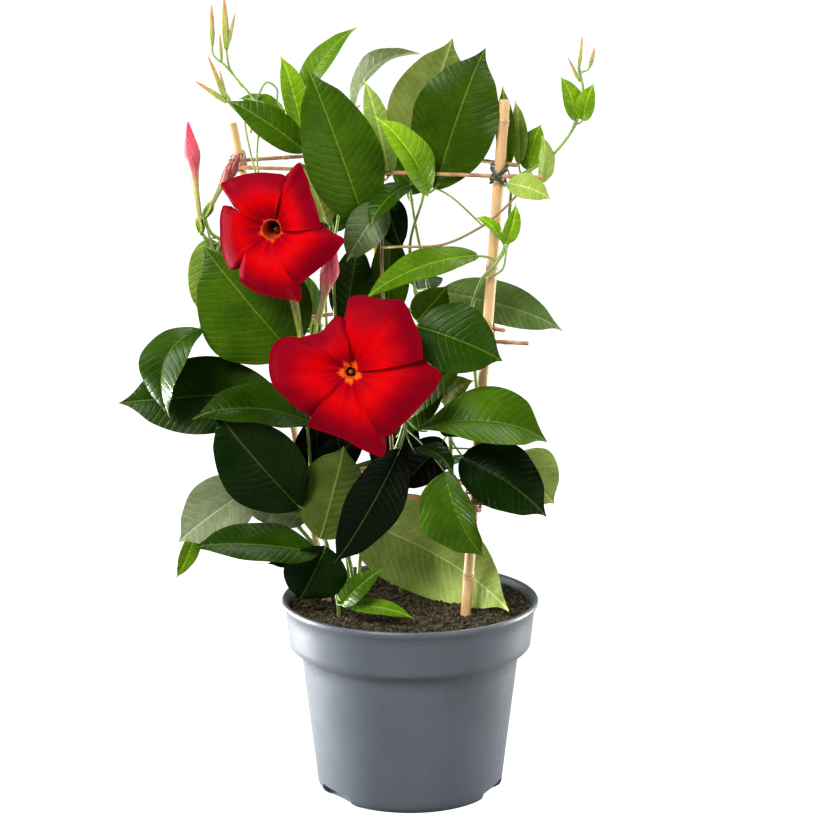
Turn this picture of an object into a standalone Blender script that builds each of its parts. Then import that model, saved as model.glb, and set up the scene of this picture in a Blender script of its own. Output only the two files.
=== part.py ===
"""A mandevilla in its nursery pot, trained up three bamboo canes.

Lengths are in millimetres and become metres through MM. The origin is the middle of the
pot's base, +Z is up and -Y is the side that the flowers face.
"""
from math import cos, pi, radians, sin, tau

import bmesh
import bpy
from mathutils import Vector

MM = 0.001
GAP = 0.3

# Pot
RIM_RADIUS = 85.0
RIM_TOP = 130.0
LIP_WIDTH = 4.0
COLLAR_BOTTOM = 99.5
COLLAR_RADIUS = 80.0
BODY_TOP = 92.5
BODY_TOP_RADIUS = 72.0
BODY_FOOT_RADIUS = 62.0
BASE_RADIUS = 57.0
WALL = 2.0
FLOOR = 3.0
POT_SIDES = 32
NOTCH_COUNT = 3
NOTCH_SIZE = (16.0, 31.0, 8.0)
FIRST_NOTCH_TURN = 216.0

# Soil and what stands in it
SOIL_TOP = 124.0
SOIL_DOME = 2.0
HOLE_DEPTH = 60.0

# Canes, from the soil up, as (foot, top, radius)
CANES = {
    "cane_right": ((36, -29), (59, -37, 461), 3.4),
    "cane_left": ((-55, 6), (-114, 12, 442), 2.8),
    "cane_back": ((-10, 48), (-28, 66, 455), 3.0),
}
CANE_PAIRS = (("cane_right", "cane_left"), ("cane_left", "cane_back"), ("cane_back", "cane_right"))
NODE_RING_HEIGHTS = (153, 262, 355, 447)
NODE_RING_SWELL = 0.5
NODE_RING_HALF = 3.0

# Rattan sticks join the canes in a triangle at three heights; they run on past the canes by
# the overhangs, the first at the start and the second at the end of each pair
STICK_RADIUS = 1.3
STICK_OVERHANGS = ((29.0, 6.0), (6.0, 12.0), (12.0, 10.0))
STICK_LEVELS = (203, 309, 414)
STICK_STEP = 2 * STICK_RADIUS + GAP + 0.4
TIE_RADIUS = 0.8
TIE_POINTS = 11

# Leafy growth
BLADE = 0.75
PETAL = 0.85
THROAT_RADIUS = 4.0
NECK_LENGTH = 22.0
LARGE_LEAF = 80.0
SMALL_LEAF = 36.0
STALK_RADIUS = 0.8
BELLY = 0.82
STEM_RADIUS = 1.7
STEM_SPACING = 28.0
TWIG_SPACING = 16.0
ROOT_SPACING = 3.0

GREEN = (0.045, 0.16, 0.022)
RED = (0.72, 0.0, 0.008)
PINK = (0.75, 0.10, 0.16)
BROWN_RED = (0.42, 0.08, 0.09)

# Stems by their points; leaves by base, tip, width, direction the upper face looks, arch and
# fold, and for some the belly: the larger, the nearer the widest place is to the tip
VINES = {
    "vine_front": {
        "stem": [(-34, -22, SOIL_TOP - 30), (-34, -22, 140), (-30, -24, 182), (-20, -25, 210),
                 (-10, -27, 234), (-5, -34, 250), (-2, -42, 264), (-2, -46, 280), (-4, -44, 300),
                 (0, -44, 330)],
        "leaves": [
            ((22, -60, 229), (46, -71, 176), 50, (-0.75, -0.65, 0.1), 0.08, 0.60),
            ((4, -60, 256), (86, -68, 252), 50, (0.05, -0.6, 0.8), 0.16, 0.45, 1.5),
            ((4, -58, 322), (58, -62, 301), 46, (0.1, -0.9, 0.4), 0.10, 0.15),
            ((-6, -58, 243), (-48, -68, 170), 38, (0.3, -0.9, 0), 0.06, 0.2),
            ((2, -60, 243), (28, -80, 231), 18, (0.2, -0.4, 0.9), 0.22, 0.35),
        ],
    },
    "vine_right": {
        "stem": [(24, 14, SOIL_TOP - 30), (24, 14, 150), (26, 14, 206), (26, -18, 245),
                 (20, -18, 275), (6, -12, 325), (0, -12, 365), (8, -14, 396), (10, -12, 412), (6, -8, 425)],
        "leaves": [
            ((33, -42, 235), (87, -58, 200), 46, (0.35, -0.9, 0.4), 0.12, 0.25),
            ((64, -12, 226), (94, -18, 198), 44, (0.3, -1, 0.2), 0.06, 0.15),
            ((20, -26, 268), (40, -35, 283), 18, (-0.2, -0.8, 0.6), 0.10, 0.3),
            ((20, -4, 335), (100, 6, 309), 32, (0.1, -0.8, 0.6), 0.08, 0.2),
            ((16, -20, 403), (46, -27, 492), 57, (-0.3, -1, 0.2), 0.06, 0.2, 1.0),
            ((0, -2, 418), (27, 8, 496), 52, (0.1, 1, 0.3), -0.08, 0.1),
            ((11, -33, 402), (-21, -48, 452), 25, (0.35, -0.8, 0.5), 0.14, 0.45),
            ((14, -8, 419), (53, -4, 446), 20, (0.1, -0.6, 0.8), 0.14, 0.3),
            ((0, -33, 408), (-26, -56, 383), 20, (0.1, -0.2, 1), 0.14, 0.3),
            ((22, -26, 242), (-8, -38, 212), 28, (0.2, -0.9, 0.2), 0.06, 0.2),
            ((4, -18, 318), (24, -24, 342), 24, (0.2, -0.9, 0.2), 0.06, 0.2),
            ((20, -24, 276), (-10, -20, 242), 20, (-0.2, -0.9, 0.3), 0.08, 0.2),
            ((21, -27, 254), (37, -47, 250), 17, (0, -0.9, 0.4), 0.06, 0.2),
        ],
    },
    "vine_left": {
        "stem": [(-46, -28, SOIL_TOP - 30), (-47, -30, 140), (-54, -36, 175), (-62, -40, 205),
                 (-66, -36, 255), (-76, -30, 290), (-78, -32, 315)],
        "leaves": [
            ((-59, -46, 172), (-139, -66, 182), 35, (0.0, -0.55, 0.85), 0.06, 0.25),
            ((-70, -50, 203), (-122, -68, 270), 53, (-0.15, -1, 0.25), 0.08, 0.30, 0.95),
            ((-62, -46, 258), (-136, -66, 266), 42, (0.1, -0.5, 0.9), 0.12, 0.35),
            ((-86, -34, 276), (-185, -42, 270), 51, (0.05, -0.95, 0.35), 0.0, 0.2, 0.95),
            ((-75, -34, 300), (-129, -44, 369), 73, (-0.2, -1, 0.3), 0.06, 0.15),
            ((-54, -44, 176), (-72, -38, 138), 43, (0.3, -0.9, 0.2), 0.06, 0.3),
            ((-57, -52, 183), (-41, -60, 246), 50, (0.3, 1, 0.1), 0.02, 0.12),
            ((-40, -50, 138), (3, -60, 133), 13, (0, -0.6, 0.8), 0.10, 0.2),
            ((-61, -33, 216), (-58, -33, 264), 30, (0, -1, 0.2), 0.06, 0.2),
            ((-60, -45, 222), (-28, -40, 253), 24, (0.1, -1, 0.2), 0.06, 0.2),
            ((-44, -52, 139), (-17, -60, 166), 16, (-0.2, -0.8, 0.5), 0.10, 0.25),
            ((-62, -40, 172), (-91, -50, 166), 15, (0.1, -0.9, 0.3), 0.08, 0.2),
        ],
    },
    "vine_far_left": {
        "stem": [(-44, -4, SOIL_TOP - 30), (-46, -4, 140), (-80, -10, 190), (-106, -20, 235),
                 (-120, -26, 290), (-127, -30, 335), (-124, -28, 358), (-120, -26, 372)],
        "leaves": [
            ((-102, -28, 211), (-149, -40, 178), 42, (0.2, -0.8, 0.6), 0.08, 0.3),
            ((-138, -20, 182), (-152, -24, 149), 13, (0.5, -0.8, 0.3), 0.06, 0.2),
            ((-133, -42, 318), (-152, -64, 265), 40, (-0.65, -0.75, 0.3), 0.31, 0.2),
            ((-127, -22, 372), (-134, -28, 324), 28, (0.45, -0.9, 0.2), 0.08, 0.2),
            ((-64, -16, 186), (-92, -24, 182), 22, (0, -0.8, 0.6), 0.08, 0.3),
        ],
    },
    "vine_top_left": {
        "stem": [(-36, 6, SOIL_TOP - 30), (-38, 6, 140), (-45, 4, 182), (-44, 2, 240), (-48, -16, 320),
                 (-50, -17, 375), (-58, -16, 418), (-68, -8, 440), (-75, 3, 449.5)],
        "leaves": [
            ((-72, 4, 456), (-35, 6, 504), 20, (-0.5, -0.7, 0.5), 0.08, 0.3),
            ((-69, -10, 438), (-81, -12, 487), 19, (0.5, -0.9, 0.2), 0.06, 0.3),
            ((-66, -18, 427), (-114, -24, 460), 23, (-0.2, -0.8, 0.6), 0.08, 0.2),
            ((-80, 8, 446), (-110, 14, 458), 15, (0, -0.5, 0.8), 0.14, 0.2),
            ((-52, -24, 382), (-69, -30, 422), 24, (0.2, 1, 0.3), 0.06, 0.15),
            ((-36, -3, 184), (65, -43, 133), 64, (0.12, 1, -0.04), 0.22, 0.06, 0.64),
            ((-42, -14, 316), (-33, -8, 369), 28, (0.1, -1, 0.2), 0.06, 0.2),
        ],
    },
    "vine_top": {
        "stem": [(-6, 12, SOIL_TOP - 30), (-6, 12, 150), (-10, 8, 200), (-13, -14, 250), (-16, -22, 310),
                 (-18, -22, 355), (-18, -22, 388), (-24, -12, 415), (-34, 4, 438), (-36, 14, 446)],
        "leaves": [
            ((-29, -28, 384), (-63, -40, 481), 50, (0.2, -1, 0.15), 0.05, 0.2),
            ((-16, -30, 396), (-40, -38, 360), 26, (0.1, -0.8, 0.5), 0.12, 0.2),
            ((-16, -20, 399), (-5, -30, 366), 22, (-0.2, -0.9, 0.3), 0.10, 0.3),
            ((-36, 18, 450), (8, 26, 486), 27, (-0.6, 0.5, 0.7), 0.25, 0.4),
            ((-13, 4, 408), (-29, 12, 470), 19, (0.3, -1, 0.1), 0.06, 0.2),
            ((-14, -8, 318), (-13, -2, 378), 26, (0.1, -1, 0.2), 0.06, 0.2),
        ],
    },
    "vine_cane": {
        "stem": [(40, 2, SOIL_TOP - 30), (40, 2, 140), (43, 0, 200), (43, -14, 270), (38, -23, 316),
                 (44, -40, 346), (53, -43, 358), (62, -36, 372), (63, -24, 390), (66, -20, 408),
                 (78, -17, 416), (90, -15, 424), (103, -15, 441), (109, -15, 462), (106, -15, 480)],
        "leaves": [
            ((43, -46, 365), (-29, -74, 342), 27, (-0.1, -0.6, 0.9), 0.10, 0.2),
            ((31, -28, 292), (-2, -33, 256), 24, (-0.5, -0.7, 0.5), 0.10, 0.3),
            ((69, -14, 418), (67, -6, 458), 11, (0.3, -1, 0), 0.08, 0.4),
            ((75, -12, 414), (83, -6, 443), 17, (-0.3, -0.8, 0.4), 0.12, 0.4),
            ((83, -22, 407), (84, -18, 437), 15, (0.7, -0.7, 0.2), 0.08, 0.4),
            ((105, -15, 446), (95, -18, 474), 15, (0.4, -0.8, 0.2), 0.10, 0.4),
            ((109, -17, 446), (115, -22, 470), 13, (-0.3, -0.9, 0.3), 0.12, 0.4),
            ((59, -48, 372), (66, -54, 398), 11, (0.3, -1, 0.1), 0.14, 0.4),
            ((57, -48, 375), (41, -52, 390), 10, (0.1, -0.6, 0.8), 0.14, 0.4),
            ((61, -25, 417), (58, -25, 469), 13, (0.1, -1, 0.1), 0.05, 0.2),
            ((60, -54, 411), (87, -58, 402), 18, (0, -0.8, 0.6), 0.12, 0.3),
        ],
    },
    "vine_back_left": {
        "stem": [(-40, 34, SOIL_TOP - 30), (-42, 36, 140), (-50, 44, 200), (-52, 46, 260),
                 (-56, 44, 320), (-48, 40, 372), (-44, 38, 400)],
        "leaves": [
            ((-58, 52, 190), (-94, 92, 174), 42, (-0.3, 0.7, 0.6), 0.12, 0.2),
            ((-44, 54, 200), (-26, 112, 186), 42, (0.1, 0.8, 0.6), 0.12, 0.2),
            ((-60, 52, 244), (-114, 80, 236), 42, (-0.3, 0.7, 0.6), 0.10, 0.2),
            ((-50, 54, 262), (-44, 120, 244), 44, (-0.1, 0.6, 0.8), 0.12, 0.2),
            ((-62, 50, 306), (-106, 70, 336), 40, (-0.5, 0.8, 0.3), 0.08, 0.2),
            ((-50, 48, 366), (-60, 72, 420), 40, (-0.3, 1, 0.2), 0.08, 0.2),
        ],
    },
    "vine_back_right": {
        "stem": [(26, 32, SOIL_TOP - 30), (26, 34, 140), (28, 42, 200), (24, 44, 260),
                 (14, 42, 320), (4, 40, 370), (0, 36, 396)],
        "leaves": [
            ((34, 48, 196), (78, 84, 170), 42, (0.3, 0.6, 0.7), 0.12, 0.2),
            ((24, 54, 210), (16, 114, 184), 42, (0, 0.8, 0.6), 0.12, 0.2),
            ((30, 48, 246), (80, 74, 226), 42, (0.2, 0.7, 0.7), 0.12, 0.2),
            ((18, 54, 270), (12, 118, 250), 38, (0, 0.6, 0.8), 0.12, 0.2),
            ((22, 46, 312), (58, 76, 298), 38, (0.4, 0.8, 0.4), 0.10, 0.2),
            ((6, 50, 328), (-8, 104, 330), 40, (0, 0.8, 0.6), 0.12, 0.2),
            ((-2, 44, 392), (18, 62, 450), 36, (0.1, 1, 0.2), 0.08, 0.2),
        ],
    },
}

# Thin side growth fused to a vine: its points and its radius
TWIGS = {
    "vine_far_left": [
        ([(-121, -26, 368), (-129, -29, 372), (-132, -31, 378)], 1.1),
        ([(-123, -28, 360), (-127, -30, 376), (-129, -31, 388)], 1.0),
    ],
    "vine_top_left": [
        ([(-73, 1, 447), (-84, -5, 446), (-98, -5, 458), (-106, -5, 467), (-118, -5, 481)], 0.9),
        ([(-71, -3, 443), (-92, 4, 446), (-106, -4, 448), (-116, -14, 459)], 0.9),
        ([(-106, -5, 466), (-114, -5, 478), (-116, -5, 490)], 0.8),
        ([(-117, -5, 480), (-124, -5, 486), (-125, -5, 493)], 0.8),
        ([(-72, 0, 446), (-84, 8, 454), (-85, 8, 464), (-92, 8, 468), (-98, 8, 456), (-102, 8, 436)], 0.7),
        ([(-105.5, -3.7, 448.3), (-103, -16, 436), (-98, -22, 416), (-92, -24, 398), (-76, -20, 384),
          (-50.4, -17, 377)], 0.7),
        ([(-94, 3.4, 446.6), (-97, -6, 430), (-95, -14, 410), (-80, -20, 396), (-54, -16.5, 398)], 0.7),
    ],
    "vine_top": [
        ([(-18, -22, 366), (-8, -38, 369), (20, -43, 371), (44, -43, 382), (58, -43, 393),
          (70, -38, 405)], 0.9),
    ],
    "vine_right": [
        ([(9, -13, 402), (19, -20, 407), (39, -20, 417), (48, -22, 432), (50, -26, 447)], 0.9),
        ([(9, -13, 406), (26, -26, 399), (46, -28, 381)], 0.8),
    ],
    "vine_cane": [
        ([(50, -42, 350), (58, -46, 356), (60, -48, 366), (61, -48, 376)], 0.8),
        ([(106, -15, 476), (112, -15, 478), (113, -15, 482)], 0.7),
    ],
}

# Green buds as (vine, foot, tip, widest radius)
GREEN_BUDS = [
    ("vine_top_left", (-116, -5, 489), (-117, -5, 524), 2.5),
    ("vine_top_left", (-125, -5, 491), (-125, -5, 518), 2.0),
    ("vine_top_left", (-119, -5, 482), (-120, -6, 500), 1.2),
    ("vine_top_left", (-116, -5, 489), (-110, -5, 513), 1.4),
    ("vine_top_left", (-113, -13, 458), (-124, -15, 474), 1.2),
    ("vine_top_left", (-116.3, -14.4, 459.4), (-127, -16, 487), 2.0),
    ("vine_top_left", (-115, -14, 457), (-135, -18, 471), 2.1),
    ("vine_top_left", (-116, -13.6, 458.8), (-120, -12, 478), 1.3),
    ("vine_cane", (106, -15, 478), (108, -16, 499), 1.5),
    ("vine_cane", (107, -15, 470), (99, -16, 486), 1.3),
    ("vine_cane", (113, -15, 479), (116, -16, 492), 1.6),
]

# Rolled flower buds as node: (vine, foot, tip, widest radius, colour)
BUDS = {
    "bud_tall": ("vine_far_left", (-132, -31, 378), (-138, -40, 448), 5.6, PINK),
    "bud_wilted": ("vine_far_left", (-129, -31, 388), (-106, -36, 428), 4.8, BROWN_RED),
    "bud_middle": ("vine_left", (-62, -54, 330), (-50, -62, 373), 7.0, PINK),
}

# Outline of a bud: share of its length from the foot, share of its widest radius
GREEN_BUD_SHAPE = ((0.0, 0.5), (0.35, 1.0), (0.75, 0.8), (1.0, 0.3))
ROLLED_BUD_SHAPE = ((0.0, 0.36), (0.3, 0.42), (0.5, 0.62), (0.68, 1.0), (0.85, 0.62), (1.0, 0.12))
BUD_SEAT = 6.0

# Flowers as node: (vine, tube foot, throat, direction faced, petals)
# A petal is the corners of its outer edge, as angle and reach from the throat
FLOWERS = {
    "flower_lower": ("vine_front", (-42, -52, 290), (-37, -92, 299), (-0.10, -1, 0.12), (
        ((98, 38), (88, 46), (57, 54), (30, 47), (8, 44)),
        ((14, 45), (-2, 56), (-28, 49), (-56, 45), (-62, 40)),
        ((-52, 42), (-70, 55), (-100, 49), (-128, 42), (-134, 38)),
        ((-126, 36), (-150, 44), (-174, 51), (-192, 47), (-214, 41)),
        ((-206, 38), (-222, 41), (-240, 39), (-256, 37), (-266, 36)))),
    "flower_upper": ("vine_left", (-68, -54, 312), (-86, -76, 385), (-0.25, -1, 0.10), (
        ((82, 32), (68, 42), (45, 40), (20, 35), (2, 33)),
        ((8, 34), (-5, 46), (-28, 42), (-50, 40), (-62, 38)),
        ((-56, 40), (-66, 46), (-92, 40), (-112, 37), (-128, 31)),
        ((-120, 30), (-134, 35), (-160, 33), (-180, 32), (-204, 31)),
        ((-196, 29), (-218, 41), (-235, 38), (-256, 35), (-284, 34)))),
}


def at(point):
    return Vector(point) * MM


def clear_scene():
    for thing in list(bpy.data.objects):
        bpy.data.objects.remove(thing)


def paint(thing, name, colour, roughness, metallic=0.0):
    material = bpy.data.materials.new(name)
    material.use_nodes = True
    shader = material.node_tree.nodes["Principled BSDF"]
    shader.inputs["Base Color"].default_value = (*colour, 1.0)
    shader.inputs["Roughness"].default_value = roughness
    shader.inputs["Metallic"].default_value = metallic
    thing.data.materials.clear()
    thing.data.materials.append(material)


def add_mesh(name, bm):
    bmesh.ops.recalc_face_normals(bm, faces=bm.faces)
    mesh = bpy.data.meshes.new(name)
    bm.to_mesh(mesh)
    bm.free()
    mesh.shade_smooth()
    mesh.set_sharp_from_angle(angle=radians(40))
    thing = bpy.data.objects.new(name, mesh)
    bpy.context.collection.objects.link(thing)
    return thing


def turned(name, profile, sides):
    """A closed solid turned round Z from an outline of (radius, height) pairs."""
    bm = bmesh.new()
    points = [bm.verts.new(at((r, 0, z))) for r, z in profile]
    edges = [bm.edges.new((a, b)) for a, b in zip(points, points[1:])]
    bmesh.ops.spin(bm, geom=points + edges, cent=(0, 0, 0), axis=(0, 0, 1),
                   angle=tau, steps=sides, use_merge=True)
    bmesh.ops.remove_doubles(bm, verts=bm.verts, dist=0.01 * MM)
    return add_mesh(name, bm)


def smooth_path(points, spacing):
    """Points on a Catmull-Rom curve through the given ones, about the spacing apart."""
    knots = [Vector(p) for p in points]
    if len(knots) == 2:
        return knots
    ends = [2 * knots[0] - knots[1]] + knots + [2 * knots[-1] - knots[-2]]
    path = []
    for before, start, stop, after in zip(ends, ends[1:], ends[2:], ends[3:]):
        count = max(1, round((stop - start).length / spacing))
        for step in range(count):
            t = step / count
            bend = (2 * before - 5 * start + 4 * stop - after) * t * t
            twist = (3 * start - before - 3 * stop + after) * t ** 3
            path.append((2 * start + (stop - before) * t + bend + twist) / 2)
    path.append(knots[-1])
    return path


def along_chords(path, spacing):
    """Points about the spacing apart on the straight lines from each point to the next."""
    fine = []
    for start, stop in zip(path, path[1:]):
        count = max(1, round((stop - start).length / spacing))
        fine += [start.lerp(stop, step / count) for step in range(count)]
    return fine + [path[-1]]


def tube(name, points, radii, resolution=0, closed=False):
    """A round bar along the points, with filled ends, as a mesh."""
    curve = bpy.data.curves.new(name, "CURVE")
    curve.dimensions = "3D"
    curve.bevel_depth = MM
    curve.bevel_resolution = resolution
    curve.use_fill_caps = not closed
    spline = curve.splines.new("POLY")
    spline.points.add(len(points) - 1)
    spline.use_cyclic_u = closed
    for knot, point, radius in zip(spline.points, points, radii):
        knot.co = (*at(point), 1.0)
        knot.radius = radius
    guide = bpy.data.objects.new(name, curve)
    bpy.context.collection.objects.link(guide)
    view = bpy.context.evaluated_depsgraph_get()
    swept = bmesh.new()
    swept.from_mesh(bpy.data.meshes.new_from_object(guide.evaluated_get(view)))
    bpy.data.objects.remove(guide)
    bmesh.ops.remove_doubles(swept, verts=swept.verts, dist=0.01 * MM)
    return add_mesh(name, swept)


def spindle(name, foot, tip, radius, shape, resolution):
    """A bud: a bar along which the shape gives the share of the radius at each height."""
    points = [Vector(foot).lerp(Vector(tip), t) for t, _ in shape]
    return tube(name, points, [radius * width for _, width in shape], resolution)


def apply_modifiers(thing):
    view = bpy.context.evaluated_depsgraph_get()
    mesh = bpy.data.meshes.new_from_object(thing.evaluated_get(view))
    thing.modifiers.clear()
    thing.data = mesh


def combine(thing, operation, others):
    """One Boolean with all the others, which are then removed."""
    group = bpy.data.collections.new(thing.name + "_parts")
    bpy.context.scene.collection.children.link(group)
    for other in others:
        for old in other.users_collection:
            old.objects.unlink(other)
        group.objects.link(other)
    boolean = thing.modifiers.new("Combine", "BOOLEAN")
    boolean.operation = operation
    boolean.solver = "EXACT"
    boolean.operand_type = "COLLECTION"
    boolean.collection = group
    apply_modifiers(thing)
    for other in others:
        bpy.data.objects.remove(other)
    bpy.data.collections.remove(group)


def blade_mesh(name, rows):
    """A closed thin solid from rows of (points, normal, thickness), split alike on both faces."""
    bm = bmesh.new()
    upper = []
    lower = []
    for points, normal, thickness in rows:
        offset = normal * thickness / 2
        upper.append([bm.verts.new(at(p + offset)) for p in points])
        lower.append([bm.verts.new(at(p - offset)) for p in points])
    last = len(rows) - 1
    edge = len(upper[0]) - 1
    for i in range(last):
        for j in range(edge):
            for grid in (upper, lower):
                a, b = grid[i][j], grid[i][j + 1]
                c, d = grid[i + 1][j + 1], grid[i + 1][j]
                bm.faces.new((a, b, c))
                bm.faces.new((a, c, d))
        for j in (0, edge):
            bm.faces.new((upper[i][j], upper[i + 1][j], lower[i + 1][j], lower[i][j]))
    for i in (0, last):
        for j in range(edge):
            bm.faces.new((upper[i][j], upper[i][j + 1], lower[i][j + 1], lower[i][j]))
    return add_mesh(name, bm)


def half_width(t, belly):
    """The outline of a leaf: round at the base and drawn out at the tip."""
    return max(0.05, sin(pi * min(1.0, t) ** belly) ** 0.72 * (1.0 - 0.25 * t ** 4))


def leaf_detail(length):
    """The stations along a blade and the columns across it, by its size."""
    if length > LARGE_LEAF:
        return (0.1, 0.27, 0.47, 0.67, 0.85, 1.0), (-1.0, -0.5, 0.0, 0.5, 1.0)
    if length > SMALL_LEAF:
        return (0.13, 0.35, 0.62, 0.85, 1.0), (-1.0, 0.0, 1.0)
    return (0.3, 0.65, 1.0), (-1.0, 0.0, 1.0)


def leaf_rows(root, leaf):
    """A leaf as rows: its stalk from the root to the blade's base, then the blade."""
    base, tip, width, facing, arch, fold = leaf[:6]
    belly = leaf[6] if len(leaf) > 6 else BELLY
    start = Vector(base)
    along = Vector(tip) - start
    length = along.length
    ahead = along.normalized()
    up = Vector(facing)
    up = (up - ahead * up.dot(ahead)).normalized()
    across = ahead.cross(up)
    stations, columns = leaf_detail(length)
    rows = []
    stalk = (start - root).normalized()
    for spot, heading in ((root, stalk), (start, (stalk + ahead).normalized())):
        turn = ahead.rotation_difference(heading)
        side = turn @ across
        rows.append(([spot + side * (s * STALK_RADIUS) for s in columns], turn @ up, 2 * STALK_RADIUS))
    for t in stations:
        lift = up * (arch * length * 4 * t * (1 - t))
        slope = arch * 4 * (1 - 2 * t)
        normal = (up - ahead * slope).normalized()
        half = half_width(t, belly) * width / 2
        points = []
        for s in columns:
            raised = fold * half * (abs(s) - 0.35 * s * s)
            points.append(start + along * t + lift + across * (s * half) + normal * raised)
        rows.append((points, normal, BLADE))
    return rows


def nearest_on(path, point):
    return min(path, key=lambda spot: (spot - point).length)


def leaf_root(stem_path, base, tip):
    toward = (Vector(tip) - Vector(base)).normalized()
    return nearest_on(stem_path, Vector(base) - toward * 4)


def make_vine(name, plan, extras):
    path = smooth_path(plan["stem"], STEM_SPACING)
    radii = [STEM_RADIUS * (1 - 0.35 * i / (len(path) - 1)) for i in range(len(path))]
    vine = tube(name, path, radii, 1)
    fine_path = along_chords(path, ROOT_SPACING)
    pieces = list(extras)
    for number, leaf in enumerate(plan["leaves"]):
        root = leaf_root(fine_path, leaf[0], leaf[1])
        pieces.append(blade_mesh(f"{name}_leaf{number}", leaf_rows(root, leaf)))
    for number, (points, radius) in enumerate(TWIGS.get(name, ())):
        twig = smooth_path(points, TWIG_SPACING)
        pieces.append(tube(f"{name}_twig{number}", twig, [radius] * len(twig)))
    for number, (owner, foot, tip, radius) in enumerate(GREEN_BUDS):
        if owner == name:
            pieces.append(spindle(f"{name}_bud{number}", foot, tip, radius, GREEN_BUD_SHAPE, 0))
    combine(vine, "UNION", pieces)
    paint(vine, name + "_green", GREEN, 0.32)
    return vine


def make_pot():
    lip = LIP_WIDTH
    outline = [
        (0.0, 0.0), (BASE_RADIUS, 0.0), (BODY_FOOT_RADIUS - 1.5, 2.5), (BODY_FOOT_RADIUS, 8.0),
        (BODY_TOP_RADIUS, BODY_TOP), (COLLAR_RADIUS, COLLAR_BOTTOM),
        (RIM_RADIUS - 2.5, RIM_TOP - 6), (RIM_RADIUS - 0.6, RIM_TOP - 4), (RIM_RADIUS, RIM_TOP - 2),
        (RIM_RADIUS - 1.2, RIM_TOP), (RIM_RADIUS - lip + 0.8, RIM_TOP), (RIM_RADIUS - lip, RIM_TOP - 1.5),
        (RIM_RADIUS - lip - 0.8, RIM_TOP - 6), (COLLAR_RADIUS - WALL, COLLAR_BOTTOM + 1.0),
        (BODY_TOP_RADIUS - WALL, BODY_TOP + 1.0), (BODY_FOOT_RADIUS - WALL, NOTCH_SIZE[2] + FLOOR),
        (0.0, NOTCH_SIZE[2] + FLOOR),
    ]
    pot = turned("pot", outline, POT_SIDES)
    cutters = []
    for turn in range(NOTCH_COUNT):
        angle = radians(FIRST_NOTCH_TURN + turn * 360 / NOTCH_COUNT)
        bm = bmesh.new()
        bmesh.ops.create_cube(bm, size=1.0)
        cutter = add_mesh(f"notch{turn}", bm)
        depth, width, height = NOTCH_SIZE
        cutter.scale = (depth * MM, width * MM, 2 * height * MM)
        cutter.location = at((cos(angle) * BODY_FOOT_RADIUS, sin(angle) * BODY_FOOT_RADIUS, 0))
        cutter.rotation_euler = (0, 0, angle)
        cutters.append(cutter)
    combine(pot, "DIFFERENCE", cutters)
    paint(pot, "grey_blue_plastic", (0.19, 0.23, 0.27), 0.42)


def inside_radius(height):
    """The radius of the pot's inner wall at a height."""
    floor = NOTCH_SIZE[2] + FLOOR
    if height <= BODY_TOP + 1:
        share = (height - floor) / (BODY_TOP + 1 - floor)
        return BODY_FOOT_RADIUS + (BODY_TOP_RADIUS - BODY_FOOT_RADIUS) * share - WALL
    share = (height - COLLAR_BOTTOM - 1) / (RIM_TOP - 7 - COLLAR_BOTTOM)
    return COLLAR_RADIUS - WALL + (RIM_RADIUS - LIP_WIDTH - 0.8 - COLLAR_RADIUS + WALL) * share


def make_soil(standing):
    floor = NOTCH_SIZE[2] + FLOOR + GAP
    outline = [(0.0, floor)]
    for height in (floor, BODY_TOP + 1, COLLAR_BOTTOM + 1, SOIL_TOP):
        outline.append((inside_radius(height) - 2 * GAP, height))
    outline.append((0.0, SOIL_TOP + SOIL_DOME))
    soil = turned("soil", outline, POT_SIDES)
    holes = []
    for number, (path, radius) in enumerate(standing):
        start = path[0] - (path[1] - path[0]).normalized() * 2 * GAP
        run = [start] + path[1:]
        holes.append(tube(f"hole{number}", run, [radius + 2 * GAP] * len(run), 2))
    combine(soil, "DIFFERENCE", holes)
    paint(soil, "dark_soil", (0.035, 0.022, 0.02), 0.95)


def cane_line(name):
    """The cane's axis as (foot in the soil, top)."""
    (x, y), top, _ = CANES[name]
    surface = Vector((x, y, SOIL_TOP))
    top = Vector(top)
    lean = (top - surface).normalized()
    return surface - lean * HOLE_DEPTH, top


def on_cane(name, height):
    foot, top = cane_line(name)
    return foot.lerp(top, (height - foot.z) / (top.z - foot.z))


def make_cane(name):
    radius = CANES[name][2]
    foot, top = cane_line(name)
    heights = [foot.z]
    for ring in NODE_RING_HEIGHTS:
        heights += [ring - NODE_RING_HALF, ring, ring + NODE_RING_HALF]
    heights = [h for h in heights if h < top.z - 4] + [top.z]
    swollen = [radius + (NODE_RING_SWELL if h in NODE_RING_HEIGHTS else 0.0) for h in heights]
    cane = tube(name, [on_cane(name, h) for h in heights], swollen, 2)
    paint(cane, "bamboo_" + name, (0.62, 0.42, 0.20), 0.5)


def stick_side(first, second, level):
    """The outer side of a stick's two canes, square to the stick and level."""
    a = on_cane(first, level)
    b = on_cane(second, level)
    run = (b - a).normalized()
    out = run.cross(Vector((0, 0, 1))).normalized()
    middle = sum((on_cane(name, level) for name in CANES), Vector()) / len(CANES)
    return out if out.dot(a - middle) > 0 else -out


def stick_ends(level_number, pair_number):
    first, second = CANE_PAIRS[pair_number]
    level = STICK_LEVELS[level_number] + pair_number * STICK_STEP
    out = stick_side(first, second, level)
    a = on_cane(first, level) + out * (CANES[first][2] + STICK_RADIUS + GAP + 0.4)
    b = on_cane(second, level) + out * (CANES[second][2] + STICK_RADIUS + GAP + 0.4)
    return a, b


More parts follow.
